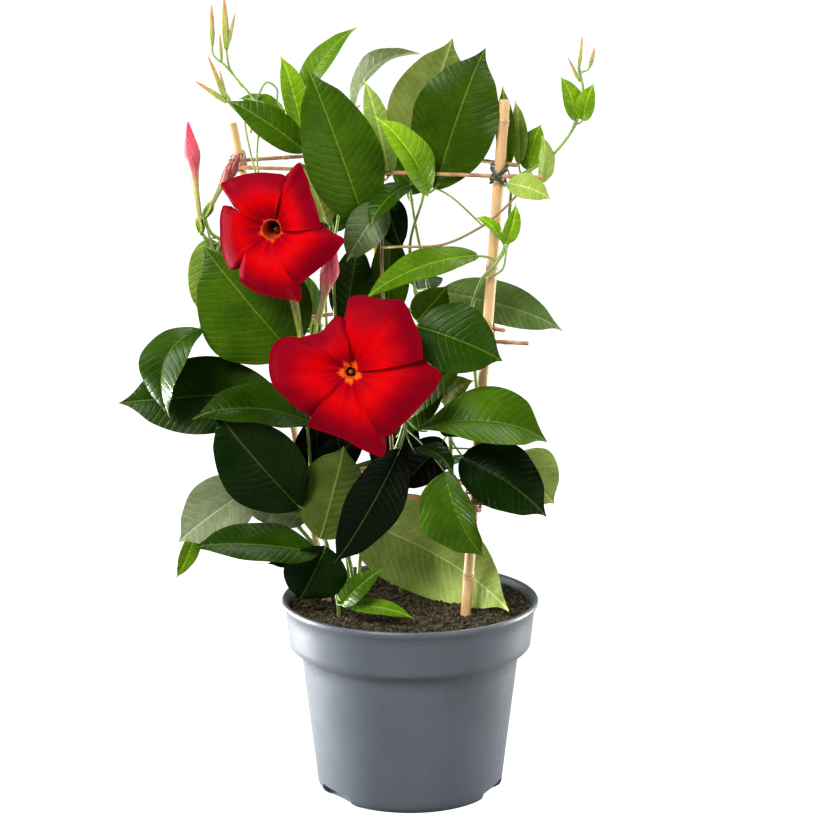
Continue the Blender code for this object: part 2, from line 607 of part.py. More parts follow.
def make_sticks():
    for level_number, height_name in enumerate(("low", "middle", "top")):
        for pair_number, (first, second) in enumerate(CANE_PAIRS):
            a, b = stick_ends(level_number, pair_number)
            run = (b - a).normalized()
            before, after = STICK_OVERHANGS[pair_number]
            ends = [a - run * before, a, b, b + run * after]
            name = f"stick_{height_name}_{first[5:]}_{second[5:]}"
            stick = tube(name, ends, [STICK_RADIUS] * 4, 1)
            paint(stick, name + "_rattan", (0.42, 0.26, 0.13), 0.6)


def make_tie(name, cane, centre, stick_centre):
    """A lashing: one oval turn, aslant, round the cane and the stick beside it."""
    out = (stick_centre - centre).normalized()
    foot, top = cane_line(cane)
    axis = (top - foot).normalized()
    level = axis.cross(out).normalized()
    slant = (level + axis * 1.15).normalized()
    near = CANES[cane][2] + GAP + TIE_RADIUS
    far = (stick_centre - centre).length + STICK_RADIUS + GAP + TIE_RADIUS
    middle = centre + out * (far - near) / 2
    reach = (far + near) / 2 + 0.4
    width = (CANES[cane][2] + GAP + TIE_RADIUS) * 1.75
    points = []
    for step in range(TIE_POINTS):
        turn = tau * step / TIE_POINTS
        points.append(middle + out * cos(turn) * reach + slant * sin(turn) * width)
    tie = tube(name, points, [TIE_RADIUS] * TIE_POINTS, 0, closed=True)
    green = name == "tie_top_right"
    paint(tie, name + "_cord", (0.02, 0.06, 0.04) if green else (0.36, 0.2, 0.15), 0.55)


def make_ties():
    for level_number, height_name in enumerate(("low", "middle", "top")):
        for pair_number, (first, second) in enumerate(CANE_PAIRS):
            a, _ = stick_ends(level_number, pair_number)
            centre = on_cane(first, a.z)
            make_tie(f"tie_{height_name}_{first[5:]}", first, centre, a)


def flower_axes(facing):
    out = Vector(facing).normalized()
    side = out.cross(Vector((0, 0, 1))).normalized() * -1
    return side, side.cross(out).normalized() * -1, out


def petal(name, throat, axes, corners):
    """One lobe, whose last side lies over the next lobe's first side."""
    right, high, out = axes
    middle = corners[2][0]
    rows = []
    for ring in (0.0, 0.25, 0.6, 1.0):
        row = []
        for column, (angle, reach) in enumerate(corners):
            turn = radians(middle + (angle - middle) * (1.08 - 0.08 * ring))
            radius = THROAT_RADIUS + (reach - THROAT_RADIUS) * ring
            height = 7.0 * sin(pi * min(1.0, ring * 1.1)) - 5.0 * (1 - ring) ** 2
            height += (column - 2) * (0.4 + 1.1 * ring)
            row.append(throat + right * cos(turn) * radius + high * sin(turn) * radius + out * height)
        rows.append((row, out, PETAL))
    return blade_mesh(name, rows)


def make_flower(name):
    _, foot, throat, facing, petals = FLOWERS[name]
    throat = Vector(throat)
    axes = flower_axes(facing)
    out = axes[2]
    foot = Vector(foot)
    neck = throat - out * NECK_LENGTH
    points = [foot, foot.lerp(neck, 0.5), neck, throat - out * 10, throat - out * 3]
    tube_path = smooth_path(points, 12)
    count = len(tube_path) - 1
    radii = [2.2 + 4.0 * (i / count) ** 1.6 for i in range(count + 1)]
    flower = tube(name, tube_path, radii, 2)
    pieces = [petal(f"{name}_petal{i}", throat, axes, plan) for i, plan in enumerate(petals)]
    combine(flower, "UNION", pieces)
    paint(flower, name + "_red", RED, 0.35)


def make_bud(name):
    _, foot, tip, radius, colour = BUDS[name]
    foot = Vector(foot)
    tip = Vector(tip)
    foot += (tip - foot).normalized() * BUD_SEAT
    bud = spindle(name, foot, tip, radius, ROLLED_BUD_SHAPE, 2)
    paint(bud, name + "_petals", colour, 0.4)


def calyx_and_stalk(name, stem_path, foot, ahead, radius):
    """The green cup under a flower or bud, on its stalk to the stem."""
    top = Vector(foot) - ahead * GAP
    cup = [top - ahead * 8, top - ahead * 5, top]
    root = nearest_on(stem_path, top - ahead * 10)
    stalk = smooth_path([root, root.lerp(cup[0], 0.5) - ahead * 2, cup[0] + ahead * 2], 10)
    return [tube(name + "_calyx", cup, [1.1, radius * 0.8, radius], 1),
            tube(name + "_stalk", stalk, [1.0] * len(stalk))]


def flower_supports(vine_name):
    """What carries the flowers and buds of one vine, to be fused to it."""
    path = along_chords(smooth_path(VINES[vine_name]["stem"], STEM_SPACING), ROOT_SPACING)
    pieces = []
    for name, (owner, foot, throat, facing, _) in FLOWERS.items():
        if owner == vine_name:
            neck = Vector(throat) - Vector(facing).normalized() * NECK_LENGTH
            ahead = (neck - Vector(foot)).normalized()
            pieces += calyx_and_stalk(name, path, foot, ahead, 2.6)
    for name, (owner, foot, tip, radius, _) in BUDS.items():
        if owner == vine_name:
            ahead = (Vector(tip) - Vector(foot)).normalized()
            seat = Vector(foot) + ahead * BUD_SEAT
            pieces += calyx_and_stalk(name, path, seat, ahead, max(2.0, radius * 0.5))
    return pieces


def main():
    clear_scene()
    make_pot()
    standing = []
    for name in CANES:
        make_cane(name)
        foot, top = cane_line(name)
        standing.append(([foot, foot.lerp(top, 0.3)], CANES[name][2]))
    for plan in VINES.values():
        path = smooth_path(plan["stem"], STEM_SPACING)
        standing.append((path[:4], STEM_RADIUS))
    make_soil(standing)
    make_sticks()
    make_ties()
    for name, plan in VINES.items():
        make_vine(name, plan, flower_supports(name))
    for name in FLOWERS:
        make_flower(name)
    for name in BUDS:
        make_bud(name)


main()
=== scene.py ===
from math import cos, pi, radians, sin, tau

import bpy
import numpy as np
from mathutils import Euler, Matrix, Vector


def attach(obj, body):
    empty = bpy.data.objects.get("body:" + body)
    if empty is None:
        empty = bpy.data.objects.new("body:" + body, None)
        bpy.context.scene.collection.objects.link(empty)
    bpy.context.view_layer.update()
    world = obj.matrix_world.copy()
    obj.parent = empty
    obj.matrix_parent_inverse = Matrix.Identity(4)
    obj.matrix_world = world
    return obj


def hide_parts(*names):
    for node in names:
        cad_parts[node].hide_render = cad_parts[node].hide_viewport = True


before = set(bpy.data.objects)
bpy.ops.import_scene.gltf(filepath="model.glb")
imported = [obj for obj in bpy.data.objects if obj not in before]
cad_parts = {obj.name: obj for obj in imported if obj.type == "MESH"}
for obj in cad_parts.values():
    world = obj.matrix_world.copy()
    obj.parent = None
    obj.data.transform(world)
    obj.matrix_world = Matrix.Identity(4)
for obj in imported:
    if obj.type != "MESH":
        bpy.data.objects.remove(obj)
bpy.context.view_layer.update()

MM = 0.001
GAP = 0.3

# Camera: the photograph's side and focal length in pixels, the eye's place in metres, its downward tilt
PHOTO_SIDE = 820
FOCAL_LENGTH = 2569
EYE = (0, -1.64, 0.60)
DOWN_TILT = 11.84

# Brightness of the air and of the floor where the lens sees them, the air's light on the plant,
# and how much of the floor's look is its own glow
AIR_SEEN = 1.05
AIR_LIGHT = 0.11
FLOOR_GLOW = 1.18
FLOOR_GLOW_SHARE = 0.78

# Soft lights as name: (place, aim, size, power), in metres and watts
LIGHTS = {
    "key": ((-0.9, -1.6, 1.6), (0, 0, 0.25), (0.9, 0.9), 59),
    "fill": ((1.4, -1.5, 0.7), (0, 0, 0.25), (0.9, 1.2), 13),
    "left_strip": ((-1.4, 0.45, 0.5), (0, 0, 0.2), (0.9, 1.6), 36),
    "right_strip": ((1.4, 0.55, 0.5), (0, 0, 0.2), (0.9, 1.6), 22),
    "left_low": ((-0.55, 0.16, 0.075), (0, 0, 0.075), (0.14, 0.13), 8),
    "right_low": ((0.55, 0.20, 0.075), (0, 0, 0.075), (0.14, 0.13), 3),
    "top_back": ((0.2, 0.8, 1.7), (0, 0, 0.25), (1.2, 0.9), 26),
    "gloss_strip": ((-0.45, -1.1, 1.35), (0, 0, 0.3), (1.1, 0.05), 6),
}

# Pot
RIM_RADIUS = 85.0
RIM_TOP = 130.0
LIP_WIDTH = 4.0
COLLAR_BOTTOM = 99.5
COLLAR_RADIUS = 80.0
BODY_TOP = 92.5
BODY_TOP_RADIUS = 72.0
BODY_FOOT_RADIUS = 62.0
BASE_RADIUS = 57.0
FOOT_HEIGHT = 8
BODY_RINGS = 12
COLLAR_RINGS = 6
WALL = 2.0
FLOOR = 3.0
POT_SIDES = 192
NOTCH_COUNT = 3
NOTCH_SIZE = (16.0, 31.0, 8.0)
FIRST_NOTCH_TURN = 216.0

# The rolled lip's section, from its outer side over the top to the inside: distances in and down from the rim
LIP_PROFILE = ((1.9, 5.4), (1.2, 4.6), (0.5, 3.6), (0.1, 2.4), (0.1, 1.3), (0.6, 0.4), (1.5, 0.0), (2.6, 0.2),
               (3.6, 1.2), (4.8, 6))

# Soil and what stands in it
SOIL_TOP = 124.0
SOIL_DOME = 2.0
BED_SIDES = 96
BED_BOTTOM = 100.0
BED_RINGS = 38
SEED_SHAPES = 6
CRUMB_COUNT = 4600
HOLE_DEPTH = 60.0

# Canes, from the soil up, as (foot, top, radius)
CANES = {
    "cane_right": ((36, -29), (59, -37, 461), 3.4),
    "cane_left": ((-55, 6), (-114, 12, 442), 2.8),
    "cane_back": ((-10, 48), (-28, 66, 455), 3.0),
}
CANE_PAIRS = (("cane_right", "cane_left"), ("cane_left", "cane_back"), ("cane_back", "cane_right"))
CANE_SIDES = 28
NODE_RING_HEIGHTS = (153, 262, 355, 447)
VEIN_SWEEP = 1.05
VEIN_BEND = 1.25
VEIN_SPACING_DM = 0.052

# Rattan sticks join the canes in a triangle at three heights
STICK_RADIUS = 1.3
STICK_OVERHANGS = ((29.0, 6.0), (6.0, 12.0), (12.0, 10.0))
STICK_LEVELS = (203, 309, 414)
STICK_STEP = 2 * STICK_RADIUS + GAP + 0.4
STICK_SEAT = STICK_RADIUS + GAP + 0.4
STICK_PARTS = 60
TIE_RADIUS = 0.8
TIE_TURNS = 4
TIE_STEPS = 22
GREEN_CLIP = "tie_top_right"

# Leafy growth
BELLY = 0.82
STEM_RADIUS = 1.7
NECK_LENGTH = 22
BUD_SEAT = 6
PETAL_COLUMNS = 56
PETAL_ROWS = 36

# Stems by their points. Leaves by base, tip, width, the way the upper face looks, arch, fold and,
# where it isn't the usual one, belly
VINES = {
    "vine_front": {
        "stem": [(-34, -22, SOIL_TOP - 30), (-34, -22, 140), (-30, -24, 182), (-20, -25, 210),
                 (-10, -27, 234), (-5, -34, 250), (-2, -42, 264), (-2, -46, 280), (-4, -44, 300),
                 (0, -44, 330)],
        "leaves": [
            ((22, -60, 229), (46, -71, 176), 50, (-0.75, -0.65, 0.1), 0.08, 0.60),
            ((4, -60, 256), (86, -68, 252), 50, (0.05, -0.6, 0.8), 0.16, 0.45, 1.5),
            ((4, -58, 322), (58, -62, 301), 46, (0.1, -0.9, 0.4), 0.10, 0.15),
            ((-6, -58, 243), (-48, -68, 170), 38, (0.3, -0.9, 0), 0.06, 0.2),
            ((2, -60, 243), (28, -80, 231), 18, (0.2, -0.4, 0.9), 0.22, 0.35),
        ],
    },
    "vine_right": {
        "stem": [(24, 14, SOIL_TOP - 30), (24, 14, 150), (26, 14, 206), (26, -18, 245),
                 (20, -18, 275), (6, -12, 325), (0, -12, 365), (8, -14, 396), (10, -12, 412), (6, -8, 425)],
        "leaves": [
            ((33, -42, 235), (87, -58, 200), 46, (0.35, -0.9, 0.4), 0.12, 0.25),
            ((64, -12, 226), (94, -18, 198), 44, (0.3, -1, 0.2), 0.06, 0.15),
            ((20, -26, 268), (40, -35, 283), 18, (-0.2, -0.8, 0.6), 0.10, 0.3),
            ((20, -4, 335), (100, 6, 309), 32, (0.1, -0.8, 0.6), 0.08, 0.2),
            ((16, -20, 403), (46, -27, 492), 57, (-0.3, -1, 0.2), 0.06, 0.2, 1.0),
            ((0, -2, 418), (27, 8, 496), 52, (0.1, 1, 0.3), -0.08, 0.1),
            ((11, -33, 402), (-21, -48, 452), 25, (0.35, -0.8, 0.5), 0.14, 0.45),
            ((14, -8, 419), (53, -4, 446), 20, (0.1, -0.6, 0.8), 0.14, 0.3),
            ((0, -33, 408), (-26, -56, 383), 20, (0.1, -0.2, 1), 0.14, 0.3),
            ((22, -26, 242), (-8, -38, 212), 28, (0.2, -0.9, 0.2), 0.06, 0.2),
            ((4, -18, 318), (24, -24, 342), 24, (0.2, -0.9, 0.2), 0.06, 0.2),
            ((20, -24, 276), (-10, -20, 242), 20, (-0.2, -0.9, 0.3), 0.08, 0.2),
            ((21, -27, 254), (37, -47, 250), 17, (0, -0.9, 0.4), 0.06, 0.2),
        ],
    },
    "vine_left": {
        "stem": [(-46, -28, SOIL_TOP - 30), (-47, -30, 140), (-54, -36, 175), (-62, -40, 205),
                 (-66, -36, 255), (-76, -30, 290), (-78, -32, 315)],
        "leaves": [
            ((-59, -46, 172), (-139, -66, 182), 35, (0.0, -0.55, 0.85), 0.06, 0.25),
            ((-70, -50, 203), (-122, -68, 270), 53, (-0.15, -1, 0.25), 0.08, 0.30, 0.95),
            ((-62, -46, 258), (-136, -66, 266), 42, (0.1, -0.5, 0.9), 0.12, 0.35),
            ((-86, -34, 276), (-185, -42, 270), 51, (0.05, -0.95, 0.35), 0.0, 0.2, 0.95),
            ((-75, -34, 300), (-129, -44, 369), 73, (-0.2, -1, 0.3), 0.06, 0.15),
            ((-54, -44, 176), (-72, -38, 138), 43, (0.3, -0.9, 0.2), 0.06, 0.3),
            ((-57, -52, 183), (-41, -60, 246), 50, (0.3, 1, 0.1), 0.02, 0.12),
            ((-40, -50, 138), (3, -60, 133), 13, (0, -0.6, 0.8), 0.10, 0.2),
            ((-61, -33, 216), (-58, -33, 264), 30, (0, -1, 0.2), 0.06, 0.2),
            ((-60, -45, 222), (-28, -40, 253), 24, (0.1, -1, 0.2), 0.06, 0.2),
            ((-44, -52, 139), (-17, -60, 166), 16, (-0.2, -0.8, 0.5), 0.10, 0.25),
            ((-62, -40, 172), (-91, -50, 166), 15, (0.1, -0.9, 0.3), 0.08, 0.2),
        ],
    },
    "vine_far_left": {
        "stem": [(-44, -4, SOIL_TOP - 30), (-46, -4, 140), (-80, -10, 190), (-106, -20, 235),
                 (-120, -26, 290), (-127, -30, 335), (-124, -28, 358), (-120, -26, 372)],
        "leaves": [
            ((-102, -28, 211), (-149, -40, 178), 42, (0.2, -0.8, 0.6), 0.08, 0.3),
            ((-138, -20, 182), (-152, -24, 149), 13, (0.5, -0.8, 0.3), 0.06, 0.2),
            ((-133, -42, 318), (-152, -64, 265), 40, (-0.65, -0.75, 0.3), 0.31, 0.2),
            ((-127, -22, 372), (-134, -28, 324), 28, (0.45, -0.9, 0.2), 0.08, 0.2),
            ((-66, -14, 189), (-108, -22, 194), 26, (0, -0.8, 0.6), 0.08, 0.3),
        ],
    },
    "vine_top_left": {
        "stem": [(-36, 6, SOIL_TOP - 30), (-38, 6, 140), (-45, 4, 182), (-44, 2, 240), (-48, -16, 320),
                 (-50, -17, 375), (-58, -16, 418), (-68, -8, 440), (-75, 3, 449.5)],
        "leaves": [
            ((-72, 4, 456), (-35, 6, 504), 20, (-0.5, -0.7, 0.5), 0.08, 0.3),
            ((-69, -10, 438), (-81, -12, 487), 19, (0.5, -0.9, 0.2), 0.06, 0.3),
            ((-66, -18, 427), (-114, -24, 460), 23, (-0.2, -0.8, 0.6), 0.08, 0.2),
            ((-80, 8, 446), (-110, 14, 458), 15, (0, -0.5, 0.8), 0.14, 0.2),
            ((-52, -24, 382), (-69, -30, 422), 24, (0.2, 1, 0.3), 0.06, 0.15),
            ((-36, -3, 184), (65, -43, 133), 64, (0.12, 1, -0.04), 0.22, 0.06, 0.64),
            ((-42, -14, 316), (-33, -8, 369), 28, (0.1, -1, 0.2), 0.06, 0.2),
        ],
    },
    "vine_top": {
        "stem": [(-6, 20, SOIL_TOP - 30), (-6, 20, 150), (-9, 17, 195), (-13, -14, 250), (-16, -22, 310),
                 (-18, -22, 355), (-18, -22, 388), (-24, -12, 415), (-34, 4, 438), (-36, 14, 446)],
        "leaves": [
            ((-29, -28, 384), (-63, -40, 481), 50, (0.2, -1, 0.15), 0.05, 0.2),
            ((-16, -30, 396), (-40, -38, 360), 26, (0.1, -0.8, 0.5), 0.12, 0.2),
            ((-16, -20, 399), (-5, -30, 366), 22, (-0.2, -0.9, 0.3), 0.10, 0.3),
            ((-36, 18, 450), (8, 26, 486), 27, (-0.6, 0.5, 0.7), 0.25, 0.4),
            ((-13, 4, 408), (-29, 12, 470), 19, (0.3, -1, 0.1), 0.06, 0.2),
            ((-14, -8, 318), (-13, -2, 378), 26, (0.1, -1, 0.2), 0.06, 0.2),
            ((-8, 4, 258), (-14, 24, 200), 34, (0, -1, -0.3), 0.04, 0.2),
        ],
    },
    "vine_cane": {
        "stem": [(40, 2, SOIL_TOP - 30), (40, 2, 140), (43, 0, 200), (43, -14, 270), (38, -23, 316),
                 (44, -40, 346), (53, -43, 358), (62, -36, 372), (63, -24, 390), (66, -20, 408),
                 (78, -17, 416), (90, -15, 424), (103, -15, 441), (109, -15, 462), (106, -15, 480)],
        "leaves": [
            ((43, -46, 365), (-29, -74, 342), 27, (-0.1, -0.6, 0.9), 0.10, 0.2),
            ((31, -28, 292), (-2, -33, 256), 24, (-0.5, -0.7, 0.5), 0.10, 0.3),
            ((69, -14, 418), (67, -6, 458), 11, (0.3, -1, 0), 0.08, 0.4),
            ((75, -12, 414), (83, -6, 443), 17, (-0.3, -0.8, 0.4), 0.12, 0.4),
            ((83, -22, 407), (84, -18, 437), 15, (0.7, -0.7, 0.2), 0.08, 0.4),
            ((105, -15, 446), (95, -18, 474), 15, (0.4, -0.8, 0.2), 0.10, 0.4),
            ((109, -17, 446), (115, -22, 470), 13, (-0.3, -0.9, 0.3), 0.12, 0.4),
            ((59, -48, 372), (66, -54, 398), 11, (0.3, -1, 0.1), 0.14, 0.4),
            ((57, -48, 375), (41, -52, 390), 10, (0.1, -0.6, 0.8), 0.14, 0.4),
            ((61, -25, 417), (58, -25, 469), 13, (0.1, -1, 0.1), 0.05, 0.2),
            ((60, -54, 411), (87, -58, 402), 18, (0, -0.8, 0.6), 0.12, 0.3),
        ],
    },
    "vine_back_left": {
        "stem": [(-40, 34, SOIL_TOP - 30), (-42, 36, 140), (-50, 44, 200), (-52, 46, 260),
                 (-56, 44, 320), (-48, 40, 372), (-44, 38, 400)],
        "leaves": [
            ((-58, 52, 190), (-94, 92, 174), 42, (-0.3, 0.7, 0.6), 0.12, 0.2),
            ((-44, 54, 200), (-26, 112, 186), 42, (0.1, 0.8, 0.6), 0.12, 0.2),
            ((-60, 52, 244), (-114, 80, 236), 42, (-0.3, 0.7, 0.6), 0.10, 0.2),
            ((-50, 54, 262), (-44, 120, 244), 44, (-0.1, 0.6, 0.8), 0.12, 0.2),
            ((-62, 50, 306), (-106, 70, 336), 40, (-0.5, 0.8, 0.3), 0.08, 0.2),
            ((-50, 48, 366), (-60, 72, 420), 40, (-0.3, 1, 0.2), 0.08, 0.2),
        ],
    },
    "vine_back_right": {
        "stem": [(26, 32, SOIL_TOP - 30), (26, 34, 140), (28, 42, 200), (24, 44, 260),
                 (14, 42, 320), (4, 40, 370), (0, 36, 396)],
        "leaves": [
            ((34, 48, 196), (78, 84, 170), 42, (0.3, 0.6, 0.7), 0.12, 0.2),
            ((24, 54, 210), (16, 114, 184), 42, (0, 0.8, 0.6), 0.12, 0.2),
            ((30, 48, 246), (80, 74, 226), 42, (0.2, 0.7, 0.7), 0.12, 0.2),
            ((18, 54, 270), (12, 118, 250), 38, (0, 0.6, 0.8), 0.12, 0.2),
            ((22, 46, 312), (58, 76, 298), 38, (0.4, 0.8, 0.4), 0.10, 0.2),
            ((6, 50, 328), (-8, 104, 330), 40, (0, 0.8, 0.6), 0.12, 0.2),
            ((-2, 44, 392), (18, 62, 450), 36, (0.1, 1, 0.2), 0.08, 0.2),
        ],
    },
}

# Thin side growth fused to a vine: its points and its radius
TWIGS = {
    "vine_far_left": [
        ([(-121, -26, 368), (-129, -29, 372), (-132, -31, 378)], 1.1),
        ([(-123, -28, 360), (-127, -30, 376), (-129, -31, 388)], 1.0),
    ],
    "vine_top_left": [
        ([(-73, 1, 447), (-84, -5, 446), (-98, -5, 458), (-106, -5, 467), (-118, -5, 481)], 0.9),
        ([(-71, -3, 443), (-92, 4, 446), (-106, -4, 448), (-116, -14, 459)], 0.9),
        ([(-106, -5, 466), (-114, -5, 478), (-116, -5, 490)], 0.8),
        ([(-117, -5, 480), (-124, -5, 486), (-125, -5, 493)], 0.8),
        ([(-72, 0, 446), (-84, 8, 454), (-85, 8, 464), (-92, 8, 468), (-98, 8, 456), (-102, 8, 436)], 0.7),
        ([(-105.5, -3.7, 448.3), (-103, -16, 436), (-98, -22, 416), (-92, -24, 398), (-76, -20, 384),
          (-50.4, -17, 377)], 0.7),
        ([(-94, 3.4, 446.6), (-97, -6, 430), (-95, -14, 410), (-80, -20, 396), (-54, -16.5, 398)], 0.7),
    ],
    "vine_top": [
        ([(-18, -22, 366), (-8, -38, 369), (20, -43, 371), (44, -43, 382), (58, -43, 393),
          (70, -38, 405)], 0.9),
    ],
    "vine_right": [
        ([(9, -13, 402), (19, -20, 407), (39, -20, 417), (48, -22, 432), (50, -26, 447)], 0.9),
        ([(9, -13, 406), (26, -26, 399), (46, -28, 381)], 0.8),
    ],
    "vine_cane": [
        ([(50, -42, 350), (58, -46, 356), (60, -48, 366), (61, -48, 376)], 0.8),
        ([(106, -15, 476), (112, -15, 478), (113, -15, 482)], 0.7),
    ],
}

# Green buds as (vine, foot, tip, widest radius)
GREEN_BUDS = [
    ("vine_top_left", (-116, -5, 489), (-117, -5, 524), 2.5),
    ("vine_top_left", (-125, -5, 491), (-125, -5, 518), 2.0),
    ("vine_top_left", (-119, -5, 482), (-120, -6, 500), 1.2),
    ("vine_top_left", (-116, -5, 489), (-110, -5, 513), 1.4),
    ("vine_top_left", (-113, -13, 458), (-124, -15, 474), 1.2),
    ("vine_top_left", (-116.3, -14.4, 459.4), (-127, -16, 487), 2.0),
    ("vine_top_left", (-115, -14, 457), (-135, -18, 471), 2.1),
    ("vine_top_left", (-116, -13.6, 458.8), (-120, -12, 478), 1.3),
    ("vine_cane", (106, -15, 478), (108, -16, 499), 1.5),
    ("vine_cane", (107, -15, 470), (99, -16, 486), 1.3),
    ("vine_cane", (113, -15, 479), (116, -16, 492), 1.6),
]

# Rolled flower buds as node: (vine, foot, tip, widest radius)
BUDS = {
    "bud_tall": ("vine_far_left", (-132, -31, 378), (-138, -40, 448), 5.6),
    "bud_wilted": ("vine_far_left", (-129, -31, 388), (-106, -36, 428), 4.8),
    "bud_middle": ("vine_left", (-60, -54, 316), (-46, -62, 373), 6.6),
}

# Flowers as node: (vine, tube foot, throat, direction faced, radius and depth of the throat, petals)
# A petal is its outer edge from one side to the other, as angle and reach from the throat
FLOWERS = {
    "flower_lower": ("vine_front", (-42, -52, 290), (-37, -92, 299), (-0.1, -1, 0.12), (3.2, 5.0), (
        ((101, 30), (95, 38), (92, 45), (83, 48), (68, 49), (56, 54.5), (50, 54), (39, 50.5), (25, 48.5),
         (11, 46)),
        ((14, 45), (7, 49), (-0.5, 56), (-9, 54), (-23, 48.5), (-37, 46), (-48, 45.5), (-57, 46),
         (-64, 42)),
        ((-56, 38), (-61, 46), (-64, 52), (-68.5, 55.5), (-75, 51.5), (-84, 46), (-95, 41.5),
         (-111, 40.4), (-123, 42), (-128, 41.8), (-130, 36)),
        ((-124, 37), (-135, 38), (-145, 40), (-158, 43.4), (-168, 48), (-176, 50), (-185, 50.8),
         (-196, 50.8), (-204, 48.3), (-211, 42), (-215, 36)),
        ((-203, 36), (-210, 38.6), (-222, 33.8), (-232, 30.6), (-242, 32), (-250, 34), (-257, 35.8),
         (-263, 33), (-268, 28)))),
    "flower_upper": ("vine_left", (-68, -54, 312), (-86, -76, 385), (-0.25, -1, 0.1), (6.0, 13.0), (
        ((85, 26), (79, 31), (73, 36.5), (68, 44.5), (64, 44), (59.7, 41.3), (51, 38), (42.7, 35),
         (32, 33.5), (21, 33), (10, 33), (3, 33)),
        ((10, 32), (4, 35), (-1, 40.6), (-5.4, 47.7), (-12, 45.8), (-22, 42.7), (-34, 39.3), (-47, 37.8),
         (-57, 38.5), (-62, 36)),
        ((-52, 32), (-58, 38), (-61.5, 43), (-65.3, 47.4), (-70, 45.8), (-76, 44), (-89, 41), (-101, 40),
         (-113, 38), (-121, 35.7), (-127, 31), (-131, 27)),
        ((-124, 28), (-129, 31.5), (-134, 36), (-140, 36), (-146, 35.7), (-159, 33.8), (-176, 32.2),
         (-194, 32.7), (-201, 33), (-205, 33), (-209, 28)),
        ((-203, 24), (-209, 27.9), (-214, 34), (-219, 42.2), (-224, 41.5), (-230, 40), (-240, 38),
         (-256, 35.8), (-272, 34.7), (-284, 34.8), (-290, 32)))),
}

# Looks of the blades, leaf by leaf in the order of each vine
LEAF_TINTS = {
    "dark": (0.0046, 0.0165, 0.0003), "darkest": (0.0026, 0.0062, 0.0004), "deep": (0.018, 0.046, 0.0010),
    "mid_deep": (0.029, 0.060, 0.0016), "mid": (0.040, 0.086, 0.0026), "bright": (0.085, 0.165, 0.006),
    "fresh": (0.15, 0.27, 0.012),
    "pale": (0.24, 0.33, 0.075), "yellow": (0.19, 0.26, 0.05), "grey": (0.085, 0.115, 0.055),
    # The lit olive tint is olive brightened with painted light, for leaves that lie in shade.
    "olive": (0.070, 0.095, 0.018), "light_olive": (0.15, 0.185, 0.045), "olive_painted_light": (0.34, 0.43, 0.13),
    # The pale grey tint is green greyed by a painted sheen.
    # The silver tint is a pale silver green, brightened further with painted backlight.
    "silver_painted_backlight": (0.33, 0.39, 0.23), "grey_painted_sheen": (0.17, 0.195, 0.12),
    "soft_green": (0.105, 0.160, 0.048),
}
LEAF_LOOKS = {
    "vine_front": ("mid", "mid", "deep", "darkest", "dark"),
    "vine_right": ("dark", "olive_painted_light", "light_olive", "soft_green", "mid_deep", "light_olive", "fresh",
                   "grey", "deep", "darkest", "mid", "mid", "darkest"),
    "vine_left": ("deep", "dark", "deep", "deep", "mid", "dark", "olive", "bright", "darkest", "darkest",
                  "mid", "dark"),
    "vine_far_left": ("grey_painted_sheen", "bright", "deep", "pale", "grey_painted_sheen"),
    "vine_top_left": ("bright", "fresh", "mid", "bright", "light_olive", "olive_painted_light", "deep"),
    "vine_top": ("mid", "grey", "dark", "silver_painted_backlight", "pale", "mid", "darkest"),
    "vine_cane": ("bright", "mid", "yellow", "bright", "pale", "fresh", "fresh", "fresh", "fresh", "bright",
                  "yellow"),
    "vine_back_left": ("mid", "deep", "mid", "deep", "mid", "deep"),
    "vine_back_right": ("deep", "mid", "mid", "deep", "mid", "deep", "mid"),
}
OLD_STEMS = ("vine_top",)


def at(point):
    return Vector(point) * MM


def let_go():
    bpy.ops.object.select_all(action="DESELECT")


def hold(thing):
    let_go()
    thing.select_set(True)
    bpy.context.view_layer.objects.active = thing


def settle(thing):
    """Puts the piece's place and turn into its mesh."""
    hold(thing)
    bpy.ops.object.transform_apply(location=True, rotation=True, scale=True)


def outward(thing):
    hold(thing)
    bpy.ops.object.mode_set(mode="EDIT")
    bpy.ops.mesh.select_all(action="SELECT")
    bpy.ops.mesh.remove_doubles(threshold=0.00001)
    bpy.ops.mesh.normals_make_consistent(inside=False)
    bpy.ops.object.mode_set(mode="OBJECT")


def smooth(thing, angle):
    hold(thing)
    bpy.ops.object.shade_smooth_by_angle(angle=radians(angle))


def use_modifier(thing, kind, **settings):
    hold(thing)
    modifier = thing.modifiers.new(kind.title(), kind)
    for key, value in settings.items():
        setattr(modifier, key, value)
    bpy.ops.object.modifier_apply(modifier=modifier.name)


def join(name, things):
    let_go()
    for thing in things:
        thing.select_set(True)
    bpy.context.view_layer.objects.active = things[0]
    if len(things) > 1:
        bpy.ops.object.join()
    things[0].name = name
    things[0].data.name = name
    return things[0]


def hand_over(piece, slot, *nodes):
    """The finished piece rides on the plant's one body and stands for its CAD nodes."""
    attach(piece, "root")
    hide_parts(*nodes)


def coat(thing, *finishes):
    thing.data.materials.clear()
    for finish in finishes:
        thing.data.materials.append(finish)


def smooth_path(points, spacing):
    """Points on a Catmull-Rom curve through the given ones, about the spacing apart."""
    knots = [Vector(p) for p in points]
    if len(knots) == 2:
        knots = [knots[0], knots[0].lerp(knots[1], 0.5), knots[1]]
    ends = [2 * knots[0] - knots[1]] + knots + [2 * knots[-1] - knots[-2]]
    path = []
    for before, start, stop, after in zip(ends, ends[1:], ends[2:], ends[3:]):
        count = max(1, round((stop - start).length / spacing))
        for step in range(count):
            t = step / count
            bend = (2 * before - 5 * start + 4 * stop - after) * t * t
            twist = (3 * start - before - 3 * stop + after) * t ** 3
            path.append((2 * start + (stop - before) * t + bend + twist) / 2)
    path.append(knots[-1])
    return path


